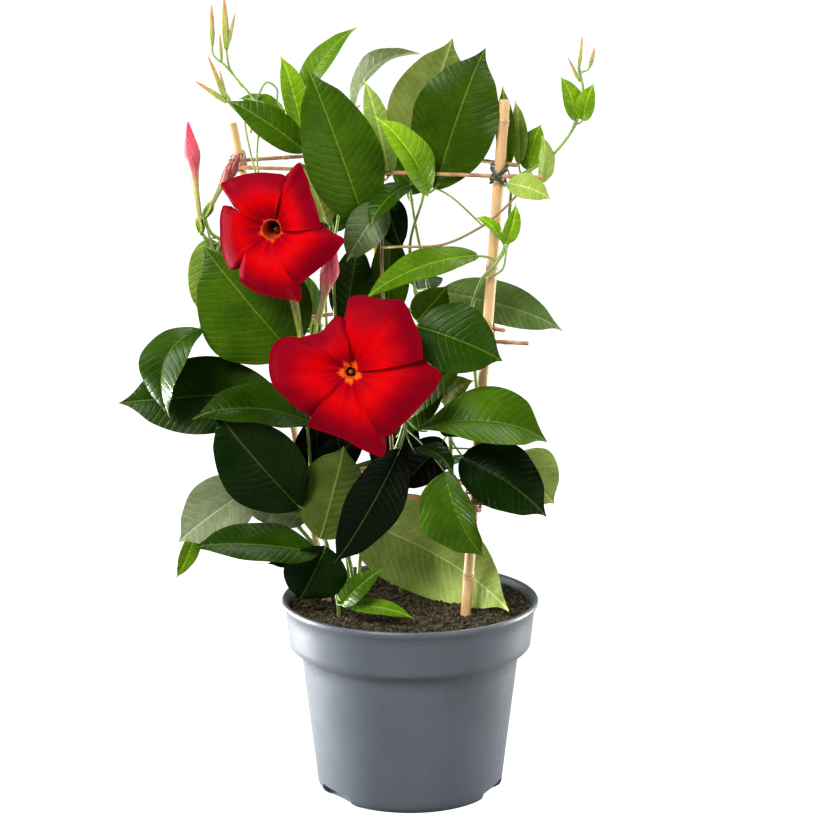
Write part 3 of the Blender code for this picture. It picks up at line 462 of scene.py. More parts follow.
def bar_along(name, points, radii, resolution, capped=True):
    """A round bar along the points, as a mesh with UVs round and along it."""
    curve = bpy.data.curves.new(name, "CURVE")
    curve.dimensions = "3D"
    curve.bevel_depth = MM
    curve.bevel_resolution = resolution
    curve.use_fill_caps = capped
    spline = curve.splines.new("POLY")
    spline.points.add(len(points) - 1)
    for knot, point, radius in zip(spline.points, points, radii):
        knot.co = (*at(point), 1.0)
        knot.radius = radius
    bar = bpy.data.objects.new(name, curve)
    bpy.context.collection.objects.link(bar)
    hold(bar)
    bpy.ops.object.convert(target="MESH")
    bar = bpy.context.view_layer.objects.active
    outward(bar)
    smooth(bar, 60)
    return bar


def ring_by_ring(name, outline, sides):
    """A round solid grown from a disc: each ring is extruded, then drawn in or let out."""
    let_go()
    radius, height = outline[0]
    bpy.ops.mesh.primitive_circle_add(vertices=sides, radius=radius * MM, fill_type="NGON")
    thing = bpy.context.active_object
    bpy.ops.object.mode_set(mode="EDIT")
    bpy.ops.transform.translate(value=(0, 0, height * MM))
    for wider, higher in outline[1:]:
        bpy.ops.mesh.extrude_region_move(TRANSFORM_OT_translate={"value": (0, 0, (higher - height) * MM)})
        share = wider / radius
        bpy.ops.transform.resize(value=(share, share, 1.0), center_override=(0, 0, higher * MM))
        radius, height = wider, higher
    bpy.ops.object.mode_set(mode="OBJECT")
    thing.name = name
    thing.data.name = name
    outward(thing)
    return thing


# Finishes

EVEN = (1.0, 1.0, 1.0)


def new_finish(name):
    material = bpy.data.materials.new(name)
    material.use_nodes = True
    return material, material.node_tree, material.node_tree.nodes["Principled BSDF"]


def node(tree, kind, **settings):
    made = tree.nodes.new(kind)
    for key, value in settings.items():
        setattr(made, key, value)
    return made


def wire(tree, source, target):
    tree.links.new(source, target)


def maths(tree, operation, first, second=None):
    made = node(tree, "ShaderNodeMath", operation=operation)
    for socket, value in zip(made.inputs, (first, second)):
        if value is None:
            continue
        if isinstance(value, (int, float)):
            socket.default_value = value
        else:
            wire(tree, value, socket)
    return made.outputs[0]


def times(tree, first, second):
    return maths(tree, "MULTIPLY", first, second)


def spread(tree, value, low, high, out_low=0.0, out_high=1.0):
    made = node(tree, "ShaderNodeMapRange", interpolation_type="SMOOTHSTEP")
    wire(tree, value, made.inputs["Value"])
    for socket, number in (("From Min", low), ("From Max", high), ("To Min", out_low), ("To Max", out_high)):
        made.inputs[socket].default_value = number
    return made.outputs["Result"]


def dyed(tree, colour, tone):
    """The colour, darkened or lit by the tone channel by channel."""
    return blend_colours(tree, 1.0, colour, tone, "MULTIPLY")


def blend_colours(tree, share, first, second, way="MIX"):
    made = node(tree, "ShaderNodeMix", data_type="RGBA", blend_type=way)
    if isinstance(share, (int, float)):
        made.inputs["Factor"].default_value = share
    else:
        wire(tree, share, made.inputs["Factor"])
    for socket, colour in ((made.inputs[6], first), (made.inputs[7], second)):
        if isinstance(colour, tuple):
            socket.default_value = (*colour, 1.0)
        else:
            wire(tree, colour, socket)
    return made.outputs[2]


def grain(tree, scale, detail, stretch=EVEN, roughness=0.55):
    """Noise in the object's own metres: the scale is in spots to the millimetre."""
    place = node(tree, "ShaderNodeTexCoord")
    mapping = node(tree, "ShaderNodeMapping")
    mapping.inputs["Scale"].default_value = stretch
    wire(tree, place.outputs["Object"], mapping.inputs["Vector"])
    noise = node(tree, "ShaderNodeTexNoise")
    noise.inputs["Scale"].default_value = scale * 1000
    noise.inputs["Detail"].default_value = detail
    noise.inputs["Roughness"].default_value = roughness
    wire(tree, mapping.outputs["Vector"], noise.inputs["Vector"])
    return noise.outputs["Fac"]


def emboss(tree, shader, height, depth_mm, strength):
    bump = node(tree, "ShaderNodeBump")
    bump.inputs["Strength"].default_value = strength
    bump.inputs["Distance"].default_value = depth_mm * MM
    wire(tree, height, bump.inputs["Height"])
    wire(tree, bump.outputs["Normal"], shader.inputs["Normal"])


def patterned(name, base, layers, roughness, relief=None, specular=None, marks=None):
    """A finish of one colour under layers of noise, with its sheen and relief.
    A layer is (grain, low, high, amount, colour), a roughness a number or (grain, low, high, least, most),
    a relief (grain, depth in millimetres, strength), and marks an attribute's name and its colour."""
    material, tree, shader = new_finish(name)
    colour = base
    for pattern, low, high, amount, tone in layers:
        share = spread(tree, grain(tree, *pattern), low, high, 0.0, amount)
        colour = blend_colours(tree, share, colour, tone)
    if marks:
        shade = node(tree, "ShaderNodeAttribute", attribute_name=marks[0])
        colour = blend_colours(tree, shade.outputs["Fac"], colour, marks[1])
    wire(tree, colour, shader.inputs["Base Color"])
    if isinstance(roughness, tuple):
        wire(tree, spread(tree, grain(tree, *roughness[0]), *roughness[1:]), shader.inputs["Roughness"])
    else:
        shader.inputs["Roughness"].default_value = roughness
    if specular is not None:
        shader.inputs["Specular IOR Level"].default_value = specular
    if relief:
        emboss(tree, shader, grain(tree, *relief[0]), *relief[1:])
    return material


def pot_plastic():
    layers = (((0.02, 3.0), 0.35, 0.65, 1.0, (0.070, 0.081, 0.094)),
              ((0.9, 2.0), 0.4, 0.7, 0.12, (0.16, 0.18, 0.20)))
    return patterned("moulded_grey_plastic", (0.062, 0.072, 0.084), layers,
                     ((0.3, 4.0), 0.3, 0.7, 0.36, 0.46), ((1.4, 3.0), 0.05, 0.35))


def soil_crumb():
    layers = (((0.35, 6.0, EVEN, 0.7), 0.35, 0.7, 1.0, (0.125, 0.105, 0.062)),
              ((0.8, 2.0, (1.0, 0.3, 1.0)), 0.62, 0.72, 1.0, (0.11, 0.06, 0.045)))
    return patterned("dark_potting_soil", (0.014, 0.010, 0.007), layers, 0.9,
                     ((1.2, 6.0, EVEN, 0.75), 0.6, 0.9), 0.2)


def bamboo():
    fibres = (1.6, 4.0, (1.0, 1.0, 0.02))
    layers = (((0.05, 3.0, (1.0, 1.0, 0.35)), 0.35, 0.7, 1.0, (0.46, 0.285, 0.125)),
              (fibres, 0.45, 0.75, 0.6, (0.30, 0.17, 0.07)))
    # The marks darken the bands at the nodes and paint shade into the hollow at the cut top.
    return patterned("bamboo_cane", (0.60, 0.41, 0.21), layers, (fibres, 0.3, 0.7, 0.38, 0.6),
                     (fibres, 0.12, 0.6), marks=("node_band_and_painted_hollow_shade", (0.16, 0.085, 0.04)))


def rattan():
    fibres = (1.2, 4.0)
    layers = (((0.12, 3.0), 0.35, 0.7, 1.0, (0.20, 0.10, 0.045)),
              (fibres, 0.5, 0.75, 0.6, (0.11, 0.055, 0.03)))
    return patterned("brown_rattan", (0.36, 0.20, 0.09), layers, 0.6, (fibres, 0.2, 0.7))


def lashing_fibre():
    strands = (2.2, 3.0, (1.0, 1.0, 0.25))
    layers = ((strands, 0.35, 0.7, 1.0, (0.17, 0.075, 0.05)),)
    return patterned("lashing_fibre", (0.33, 0.17, 0.13), layers, 0.62, (strands, 0.15, 0.8))


def clip_plastic():
    scuffs = (0.6, 4.0)
    layers = ((scuffs, 0.4, 0.7, 1.0, (0.025, 0.075, 0.05)),)
    return patterned("dark_green_clip", (0.012, 0.045, 0.03), layers, (scuffs, 0.3, 0.7, 0.3, 0.45),
                     (scuffs, 0.05, 0.4))


def own_uv(tree):
    """The piece's own UV map, and its two parts."""
    place = node(tree, "ShaderNodeUVMap", uv_map="UVMap")
    parts = node(tree, "ShaderNodeSeparateXYZ")
    wire(tree, place.outputs["UV"], parts.inputs[0])
    return place.outputs["UV"], parts.outputs["X"], parts.outputs["Y"]


def vein_masks(tree):
    """From UVs in decimetres, along from the base and across from the midrib: midrib, side veins, quilt."""
    uv, from_side, along = own_uv(tree)
    across = maths(tree, "ABSOLUTE", maths(tree, "SUBTRACT", from_side, 0.5))
    wander = node(tree, "ShaderNodeTexNoise")
    wander.inputs["Scale"].default_value = 9.0
    wire(tree, uv, wander.inputs["Vector"])
    drift = times(tree, maths(tree, "SUBTRACT", wander.outputs["Fac"], 0.5), 0.03)
    swept = maths(tree, "POWER", maths(tree, "ADD", across, 0.0001), VEIN_BEND)
    climb = maths(tree, "SUBTRACT", along, times(tree, swept, VEIN_SWEEP))
    phase = maths(tree, "DIVIDE", maths(tree, "ADD", climb, drift), VEIN_SPACING_DM)
    part = maths(tree, "FRACT", maths(tree, "ADD", phase, 20.0))
    off = maths(tree, "ABSOLUTE", maths(tree, "SUBTRACT", part, 0.5))
    side = spread(tree, off, 0.06, 0.0)
    midrib = spread(tree, across, 0.0075, 0.002)
    quilt = spread(tree, off, 0.0, 0.3)
    return midrib, side, quilt


def leaf_finish(name, under):
    material, tree, shader = new_finish(name)
    tint = node(tree, "ShaderNodeAttribute", attribute_name="leaf_tint")
    midrib, side, quilt = vein_masks(tree)
    clouds = spread(tree, grain(tree, 0.04, 4.0), 0.3, 0.7)
    mottle = spread(tree, grain(tree, 0.5, 4.0), 0.3, 0.75)
    colour = tint.outputs["Color"]
    if under:
        colour = blend_colours(tree, 0.6, colour, (0.155, 0.19, 0.050))
        deep = dyed(tree, colour, (0.72, 0.76, 0.62))
        colour = blend_colours(tree, clouds, deep, colour)
        colour = blend_colours(tree, times(tree, side, 0.30), colour, (0.27, 0.32, 0.11))
        colour = blend_colours(tree, times(tree, midrib, 0.75), colour, (0.42, 0.46, 0.20))
        shader.inputs["Roughness"].default_value = 0.55
        shader.inputs["Specular IOR Level"].default_value = 0.06
    else:
        deep = dyed(tree, colour, (0.58, 0.64, 0.5))
        colour = blend_colours(tree, clouds, deep, colour)
        fresh = dyed(tree, colour, (1.5, 1.45, 1.2))
        colour = blend_colours(tree, times(tree, mottle, 0.5), colour, fresh)
        lit = dyed(tree, colour, (2.2, 1.8, 2.6))
        colour = blend_colours(tree, times(tree, side, 0.4), colour, lit)
        rib = blend_colours(tree, 0.12, lit, (0.36, 0.46, 0.10))
        colour = blend_colours(tree, times(tree, midrib, 0.8), colour, rib)
        wire(tree, spread(tree, grain(tree, 0.2, 4.0), 0.3, 0.7, 0.26, 0.42), shader.inputs["Roughness"])
        shader.inputs["Specular IOR Level"].default_value = 0.09
    wire(tree, colour, shader.inputs["Base Color"])
    relief = maths(tree, "ADD", times(tree, quilt, -0.4 if under else 0.4),
                   times(tree, grain(tree, 0.8, 3.0), 0.25))
    emboss(tree, shader, relief, 0.6, 0.8)
    return material


def stem_finish(name, young, old, bark):
    layers = (((0.06, 4.0), 0.35, 0.65, 1.0, old), ((1.1, 4.0, (1.0, 1.0, 0.3)), 0.5, 0.8, 0.5, bark))
    return patterned(name, young, layers, 0.5, ((1.3, 4.0, (1.0, 1.0, 0.2)), 0.15, 0.6))


def bud_finish(name, foot, middle, tip, turns):
    """Colour along the bud by its own UV, from foot to tip. The foot's colour gives way between the turns."""
    material, tree, shader = new_finish(name)
    _, _, along = own_uv(tree)
    colour = blend_colours(tree, spread(tree, along, *turns), foot, middle)
    colour = blend_colours(tree, spread(tree, along, 0.5, 0.95), colour, tip)
    deep = dyed(tree, colour, (0.7, 0.6, 0.6))
    streaks = spread(tree, grain(tree, 0.5, 4.0, (1.0, 1.0, 0.25)), 0.3, 0.7, 0.0, 0.8)
    colour = blend_colours(tree, streaks, colour, deep)
    wire(tree, colour, shader.inputs["Base Color"])
    shader.inputs["Roughness"].default_value = 0.42
    emboss(tree, shader, grain(tree, 1.2, 3.0, (1, 1, 0.2)), 0.12, 0.6)
    return material


def petal_finish():
    """Velvety red, darker at the edge, with an orange star at the throat, darker crimson streaks round it
    deepened by painted shade, and a darker band at the throat's mouth.
    The first part of the petal's own UV runs across the petal, and the second is the distance
    from the throat's middle in decimetres."""
    material, tree, shader = new_finish("petal_velvet_red")
    uv, across, reach = own_uv(tree)
    edge = node(tree, "ShaderNodeAttribute", attribute_name="edge_share")
    clouds = grain(tree, 0.03, 3.0)
    outer = maths(tree, "ADD", edge.outputs["Fac"], times(tree, clouds, 0.6))
    colour = blend_colours(tree, spread(tree, outer, 0.65, 1.2), (0.42, 0.0, 0.0012), (0.16, 0.0, 0.008))
    rays = node(tree, "ShaderNodeTexNoise")
    rays.inputs["Scale"].default_value = 1.0
    rays.inputs["Detail"].default_value = 3.0
    stretch = node(tree, "ShaderNodeMapping")
    stretch.inputs["Scale"].default_value = (30.0, 3.0, 1.0)
    wire(tree, uv, stretch.inputs["Vector"])
    wire(tree, stretch.outputs["Vector"], rays.inputs["Vector"])
    ray = spread(tree, rays.outputs["Fac"], 0.42, 0.62)
    colour = blend_colours(tree, times(tree, ray, 0.22), colour, (0.19, 0.0, 0.008))
    # Round the throat: the petal's own darker crimson streaks, deepened by painted shade.
    streaks_and_shade = maths(tree, "ADD", times(tree, ray, 0.6), 0.4)
    near = times(tree, spread(tree, reach, 0.20, 0.08), streaks_and_shade)
    colour = blend_colours(tree, times(tree, near, 0.75), colour, (0.13, 0.0, 0.014))
    middle = maths(tree, "ABSOLUTE", maths(tree, "SUBTRACT", across, 0.5))
    star = maths(tree, "ADD", reach, times(tree, middle, 0.07))
    star = maths(tree, "ADD", star, times(tree, rays.outputs["Fac"], 0.03))
    colour = blend_colours(tree, spread(tree, star, 0.102, 0.072, 0.0, 0.9), colour, (0.78, 0.13, 0.008))
    colour = blend_colours(tree, spread(tree, reach, 0.045, 0.034), colour, (0.16, 0.004, 0.003))
    wire(tree, colour, shader.inputs["Base Color"])
    shader.inputs["Roughness"].default_value = 0.6
    shader.inputs["Specular IOR Level"].default_value = 0.03
    relief = maths(tree, "ADD", times(tree, ray, 0.4), grain(tree, 0.7, 3.0))
    emboss(tree, shader, relief, 0.2, 0.5)
    return material


def throat_finish():
    """The flower's tube: pale green at the foot, then yellow-green and red, and orange at the mouth."""
    material, tree, shader = new_finish("flower_tube")
    along = node(tree, "ShaderNodeAttribute", attribute_name="along").outputs["Fac"]
    streaks = spread(tree, grain(tree, 0.9, 3.0, (1.0, 1.0, 0.2)), 0.35, 0.65)
    colour = blend_colours(tree, spread(tree, along, 0.05, 0.4), (0.26, 0.34, 0.07), (0.44, 0.44, 0.16))
    colour = blend_colours(tree, spread(tree, along, 0.5, 0.8), colour, (0.50, 0.085, 0.05))
    colour = blend_colours(tree, spread(tree, along, 0.8, 0.97), colour, (0.50, 0.075, 0.008))
    deep = dyed(tree, colour, (0.72, 0.5, 0.5))
    colour = blend_colours(tree, times(tree, streaks, 0.8), colour, deep)
    wire(tree, colour, shader.inputs["Base Color"])
    shader.inputs["Roughness"].default_value = 0.5
    shader.inputs["Specular IOR Level"].default_value = 0.25
    emboss(tree, shader, streaks, 0.1, 0.5)
    return material


def cone_finish():
    layers = (((0.9, 3.0), 0.35, 0.65, 1.0, (0.20, 0.07, 0.015)),)
    return patterned("stamen_cone", (0.42, 0.22, 0.03), layers, 0.6)


# Pot

def make_pot():
    outline = [
        (48.0, 4.0), (50.0, 1.5), (BASE_RADIUS - 1.5, 0.0), (BASE_RADIUS, 0.0), (BODY_FOOT_RADIUS - 1.5, 2.5),
        (BODY_FOOT_RADIUS - 0.3, 5.0), (BODY_FOOT_RADIUS, FOOT_HEIGHT)]
    for step in range(1, BODY_RINGS):
        share = step / BODY_RINGS
        outline.append((BODY_FOOT_RADIUS + (BODY_TOP_RADIUS - BODY_FOOT_RADIUS) * share,
                        FOOT_HEIGHT + (BODY_TOP - FOOT_HEIGHT) * share))
    outline += [
        (BODY_TOP_RADIUS, BODY_TOP), (BODY_TOP_RADIUS + 0.6, BODY_TOP + 0.9),
        (COLLAR_RADIUS - 1.6, COLLAR_BOTTOM - 1.6), (COLLAR_RADIUS - 0.4, COLLAR_BOTTOM - 0.4),
        (COLLAR_RADIUS + 0.1, COLLAR_BOTTOM + 0.6)]
    for step in range(1, COLLAR_RINGS):
        share = step / COLLAR_RINGS
        outline.append((COLLAR_RADIUS + (RIM_RADIUS - 2.5 - COLLAR_RADIUS) * share,
                        COLLAR_BOTTOM + (RIM_TOP - 6 - COLLAR_BOTTOM) * share))
    outline += [(RIM_RADIUS - inward, RIM_TOP - down) for inward, down in LIP_PROFILE]
    outline += [
        (COLLAR_RADIUS - WALL, COLLAR_BOTTOM + 1), (BODY_TOP_RADIUS - WALL, BODY_TOP + 1),
        (BODY_FOOT_RADIUS - WALL, NOTCH_SIZE[2] + FLOOR), (2.0, NOTCH_SIZE[2] + FLOOR)]
    pot = ring_by_ring("pot_shell", outline, POT_SIDES)
    depth, width, height = NOTCH_SIZE
    for turn in range(NOTCH_COUNT):
        angle = radians(FIRST_NOTCH_TURN + turn * 360 / NOTCH_COUNT)
        let_go()
        bpy.ops.mesh.primitive_cube_add(size=1.0)
        cutter = bpy.context.active_object
        cutter.scale = (depth * MM, width * MM, 2 * height * MM)
        cutter.rotation_euler = (0, 0, angle)
        cutter.location = at((cos(angle) * BODY_FOOT_RADIUS, sin(angle) * BODY_FOOT_RADIUS, 0))
        settle(cutter)
        use_modifier(cutter, "BEVEL", width=1.6 * MM, segments=3)
        use_modifier(pot, "BOOLEAN", operation="DIFFERENCE", solver="EXACT", object=cutter)
        bpy.data.objects.remove(cutter)
    smooth(pot, 30)
    coat(pot, pot_plastic())
    hand_over(pot, "pot_plastic", "pot")


# Soil

def soil_swell(x, y):
    """The height of the soil's uneven surface at a place in plan."""
    rough = 0.0
    for size, amount in ((17.0, 1.2), (7.0, 0.7), (3.1, 0.45)):
        along_x = sin(x / size + 1.3 * sin(y / size * 1.7))
        rough += amount * along_x * cos(y / size + 0.9 * sin(x / size * 1.3))
    edge = (x * x + y * y) ** 0.5 / 80.0
    return SOIL_TOP + SOIL_DOME * (1 - edge * edge) + rough * 0.7


def inside_radius(height):
    share = (height - COLLAR_BOTTOM - 1) / (RIM_TOP - 7 - COLLAR_BOTTOM)
    return COLLAR_RADIUS - WALL + (RIM_RADIUS - LIP_WIDTH - 0.8 - COLLAR_RADIUS + WALL) * share


def make_soil():
    chance = np.random.default_rng(7)
    edge = inside_radius(SOIL_TOP) - 0.5
    foot = inside_radius(BED_BOTTOM) - 1
    bed = ring_by_ring("soil_bed", [(foot, BED_BOTTOM), (edge, SOIL_TOP - 0.5)], BED_SIDES)
    hold(bed)
    bpy.ops.object.mode_set(mode="EDIT")
    bpy.ops.mesh.select_all(action="DESELECT")
    bpy.ops.object.mode_set(mode="OBJECT")
    for face in bed.data.polygons:
        face.select = face.normal.z > 0.9
    bpy.ops.object.mode_set(mode="EDIT")
    for _ in range(BED_RINGS):
        bpy.ops.mesh.inset(thickness=edge * MM / (BED_RINGS + 1.5))
    bpy.ops.object.mode_set(mode="OBJECT")
    for vertex in bed.data.vertices:
        if vertex.co.z > (SOIL_TOP - 2) * MM:
            x, y = vertex.co.x / MM, vertex.co.y / MM
            if (x * x + y * y) ** 0.5 < edge - 0.6:
                vertex.co.z = (soil_swell(x, y) + chance.uniform(-0.5, 0.5)) * MM
    seeds = []
    for _ in range(SEED_SHAPES):
        let_go()
        bpy.ops.mesh.primitive_ico_sphere_add(subdivisions=1, radius=1.0)
        seed = bpy.context.active_object
        mesh = seed.data
        spots = np.array([vertex.co for vertex in mesh.vertices])
        spots = spots * (1 + chance.uniform(-0.3, 0.3, (len(spots), 1)))
        seeds.append((spots, np.array([face.vertices[:] for face in mesh.polygons])))
        bpy.data.objects.remove(seed)
    spots_all, faces_all, count = [], [], 0
    for _ in range(CRUMB_COUNT):
        reach = edge * chance.uniform(0, 1) ** 0.5 * 0.985
        turn = chance.uniform(0, tau)
        size = 0.55 + 1.25 * chance.uniform(0, 1) ** 1.8
        reach = min(reach, edge - size * 0.9)
        x, y = reach * cos(turn), reach * sin(turn)
        spots, faces = seeds[chance.integers(0, SEED_SHAPES)]
        turned = np.array(Euler(chance.uniform(0, tau, 3)).to_matrix())
        shape = spots * (chance.uniform(0.6, 1.3, 3) * size)
        centre = np.array((x, y, soil_swell(x, y) + size * 0.35))
        spots_all.append((shape @ turned.T + centre) * MM)
        faces_all.append(faces + count)
        count += len(spots)
    mesh = bpy.data.meshes.new("crumbs")
    mesh.from_pydata(np.concatenate(spots_all).tolist(), [], np.concatenate(faces_all).tolist())
    loose = bpy.data.objects.new("crumbs", mesh)
    bpy.context.collection.objects.link(loose)
    smooth(loose, 50)
    smooth(bed, 60)
    bed = join("soil_bed", [bed, loose])
    coat(bed, soil_crumb())
    hand_over(bed, "soil", "soil")


# Canes, sticks and lashings

def cane_line(name):
    (x, y), top, _ = CANES[name]
    surface = Vector((x, y, SOIL_TOP))
    top = Vector(top)
    lean = (top - surface).normalized()
    return surface - lean * HOLE_DEPTH, top


def on_cane(name, height):
    foot, top = cane_line(name)
    return foot.lerp(top, (height - foot.z) / (top.z - foot.z))


def make_cane(name, finish):
    """A bamboo cane grown ring by ring upright, then leant into its place."""
    radius = CANES[name][2]
    foot, top = cane_line(name)
    length = (top - foot).length
    rings = [(h - foot.z) / (top.z - foot.z) * length for h in NODE_RING_HEIGHTS if h < top.z - 4]
    chance = np.random.default_rng(len(name) + int(radius * 10))
    outline = [(radius * 0.9, 0.0)]
    height = 1.0
    while height < length - 5:
        near = min(abs(height - ring) for ring in rings)
        if near > 5:
            outline.append((radius * (1 + chance.uniform(-0.012, 0.012)), height))
            height += 4.0
        else:
            offset = height - min(rings, key=lambda ring: abs(height - ring))
            swell = 0.5 * max(0.0, 1 - (offset / 3.0) ** 2) - 0.35 * max(0.0, 1 - (abs(offset - 0.2) / 0.45))
            outline.append((radius + swell, height))
            height += 0.4
    outline += [(radius, length - 1), (radius - 0.15, length - 0.1), (radius - 0.4, length),
                (radius * 0.5, length - 0.2), (radius * 0.42, length - 3), (radius * 0.3, length - 3.2)]
    cane = ring_by_ring("bamboo_" + name[5:], outline, CANE_SIDES)
    # Marks for the darker node bands and for painted shade in the hollow top.
    shade = cane.data.attributes.new("node_band_and_painted_hollow_shade", "FLOAT", "POINT")
    for vertex, mark in zip(cane.data.vertices, shade.data):
        z = vertex.co.z / MM
        near = min(abs(z - ring - 0.2) for ring in rings)
        reach = (vertex.co.x ** 2 + vertex.co.y ** 2) ** 0.5 / MM
        mark.value = max(0.0, 1 - near / 0.7) * 0.85
        mark.value = max(mark.value, 0.25 * max(0.0, 1 - near / 4))
        # Painted shade inside the hollow at the cut top.
        if z > length - 4 and reach < radius * 0.6:
            mark.value = 0.6
    lean = Vector((0, 0, 1)).rotation_difference((top - foot).normalized())
    cane.matrix_world = Matrix.Translation(foot * MM) @ lean.to_matrix().to_4x4()
    settle(cane)
    smooth(cane, 50)
    coat(cane, finish)
    hand_over(cane, "bamboo", name)


def stick_side(first, second, level):
    a = on_cane(first, level)
    b = on_cane(second, level)
    out = (b - a).normalized().cross(Vector((0, 0, 1))).normalized()
    middle = (on_cane("cane_right", level) + on_cane("cane_left", level) + on_cane("cane_back", level)) / 3
    return out if out.dot(a - middle) > 0 else -out


def stick_ends(level_number, pair_number):
    first, second = CANE_PAIRS[pair_number]
    level = STICK_LEVELS[level_number] + pair_number * STICK_STEP
    out = stick_side(first, second, level)
    a = on_cane(first, level) + out * (CANES[first][2] + STICK_SEAT)
    b = on_cane(second, level) + out * (CANES[second][2] + STICK_SEAT)
    return a, b


def make_stick(name, a, b, overhangs, finish, chance):
    run = (b - a).normalized()
    start, stop = a - run * overhangs[0], b + run * overhangs[1]
    points, radii = [], []
    for step in range(STICK_PARTS + 1):
        t = step / STICK_PARTS
        sway = Vector(chance.uniform(-0.12, 0.12, 3))
        points.append(start.lerp(stop, t) + sway)
        knot = 0.25 if step % 17 == 5 else 0.0
        radii.append(STICK_RADIUS * (1 + chance.uniform(-0.04, 0.04)) + knot)
    stick = bar_along("rattan_" + name[6:], points, radii, 3)
    coat(stick, finish)
    hand_over(stick, "rattan", name)


def make_lashing(name, cane, centre, stick_centre, finish):
    """Four turns of cord, two each way aslant, round the cane and the stick beside it."""
    out = (stick_centre - centre).normalized()
    foot, top = cane_line(cane)
    axis = (top - foot).normalized()
    level = axis.cross(out).normalized()
    near = CANES[cane][2] + GAP + TIE_RADIUS
    far = (stick_centre - centre).length + STICK_RADIUS + GAP + TIE_RADIUS
    middle = centre + out * (far - near) / 2
    reach = (far + near) / 2 + 0.3
    width = CANES[cane][2] + GAP + TIE_RADIUS
    points = []
    for step in range(TIE_TURNS * TIE_STEPS + 1):
        turn = tau * step / TIE_STEPS
        number = step / TIE_STEPS
        lean = 1.1 if number < TIE_TURNS / 2 else -1.1
        blend = min(1.0, abs(number - TIE_TURNS / 2) * 4)
        climb = (number % (TIE_TURNS / 2) - TIE_TURNS / 4) * 1.9
        slant = level * 1.05 + axis * lean * blend
        grow = 1 + 0.05 * number / TIE_TURNS
        points.append(middle + (out * cos(turn) * reach + slant * sin(turn) * width) * grow + axis * climb)
    cord = bar_along("lashing_" + name[4:], points, [TIE_RADIUS * 0.85] * len(points), 2)
    coat(cord, finish)
    hand_over(cord, "clip_plastic" if name == GREEN_CLIP else "tie_fibre", name)


def make_frame():
    cane_finish = bamboo()
    for name in CANES:
        make_cane(name, cane_finish)
    stick_finish = rattan()
    fibre = lashing_fibre()
    clip = clip_plastic()
    chance = np.random.default_rng(11)
    for level_number, height_name in enumerate(("low", "middle", "top")):
        for pair_number, (first, second) in enumerate(CANE_PAIRS):
            a, b = stick_ends(level_number, pair_number)
            name = f"stick_{height_name}_{first[5:]}_{second[5:]}"
            make_stick(name, a, b, STICK_OVERHANGS[pair_number], stick_finish, chance)
            name = f"tie_{height_name}_{first[5:]}"
            finish = clip if name == GREEN_CLIP else fibre
            make_lashing(name, first, on_cane(first, a.z), a, finish)


# Leaves

def half_width(t, belly):
    """The outline of a blade: round at the base, drawn out to a short point at the tip.
    The larger the belly, the nearer its widest place is to the tip."""
    body = np.sin(pi * np.clip(t, 0, 1) ** belly).clip(0) ** 0.72 * (1 - 0.25 * t ** 4)
    taper = np.clip((t - 0.80) / 0.20, 0, 1)
    taper = taper * taper * (3 - 2 * taper)
    return np.maximum(0.012, body * (1 - 0.62 * taper))


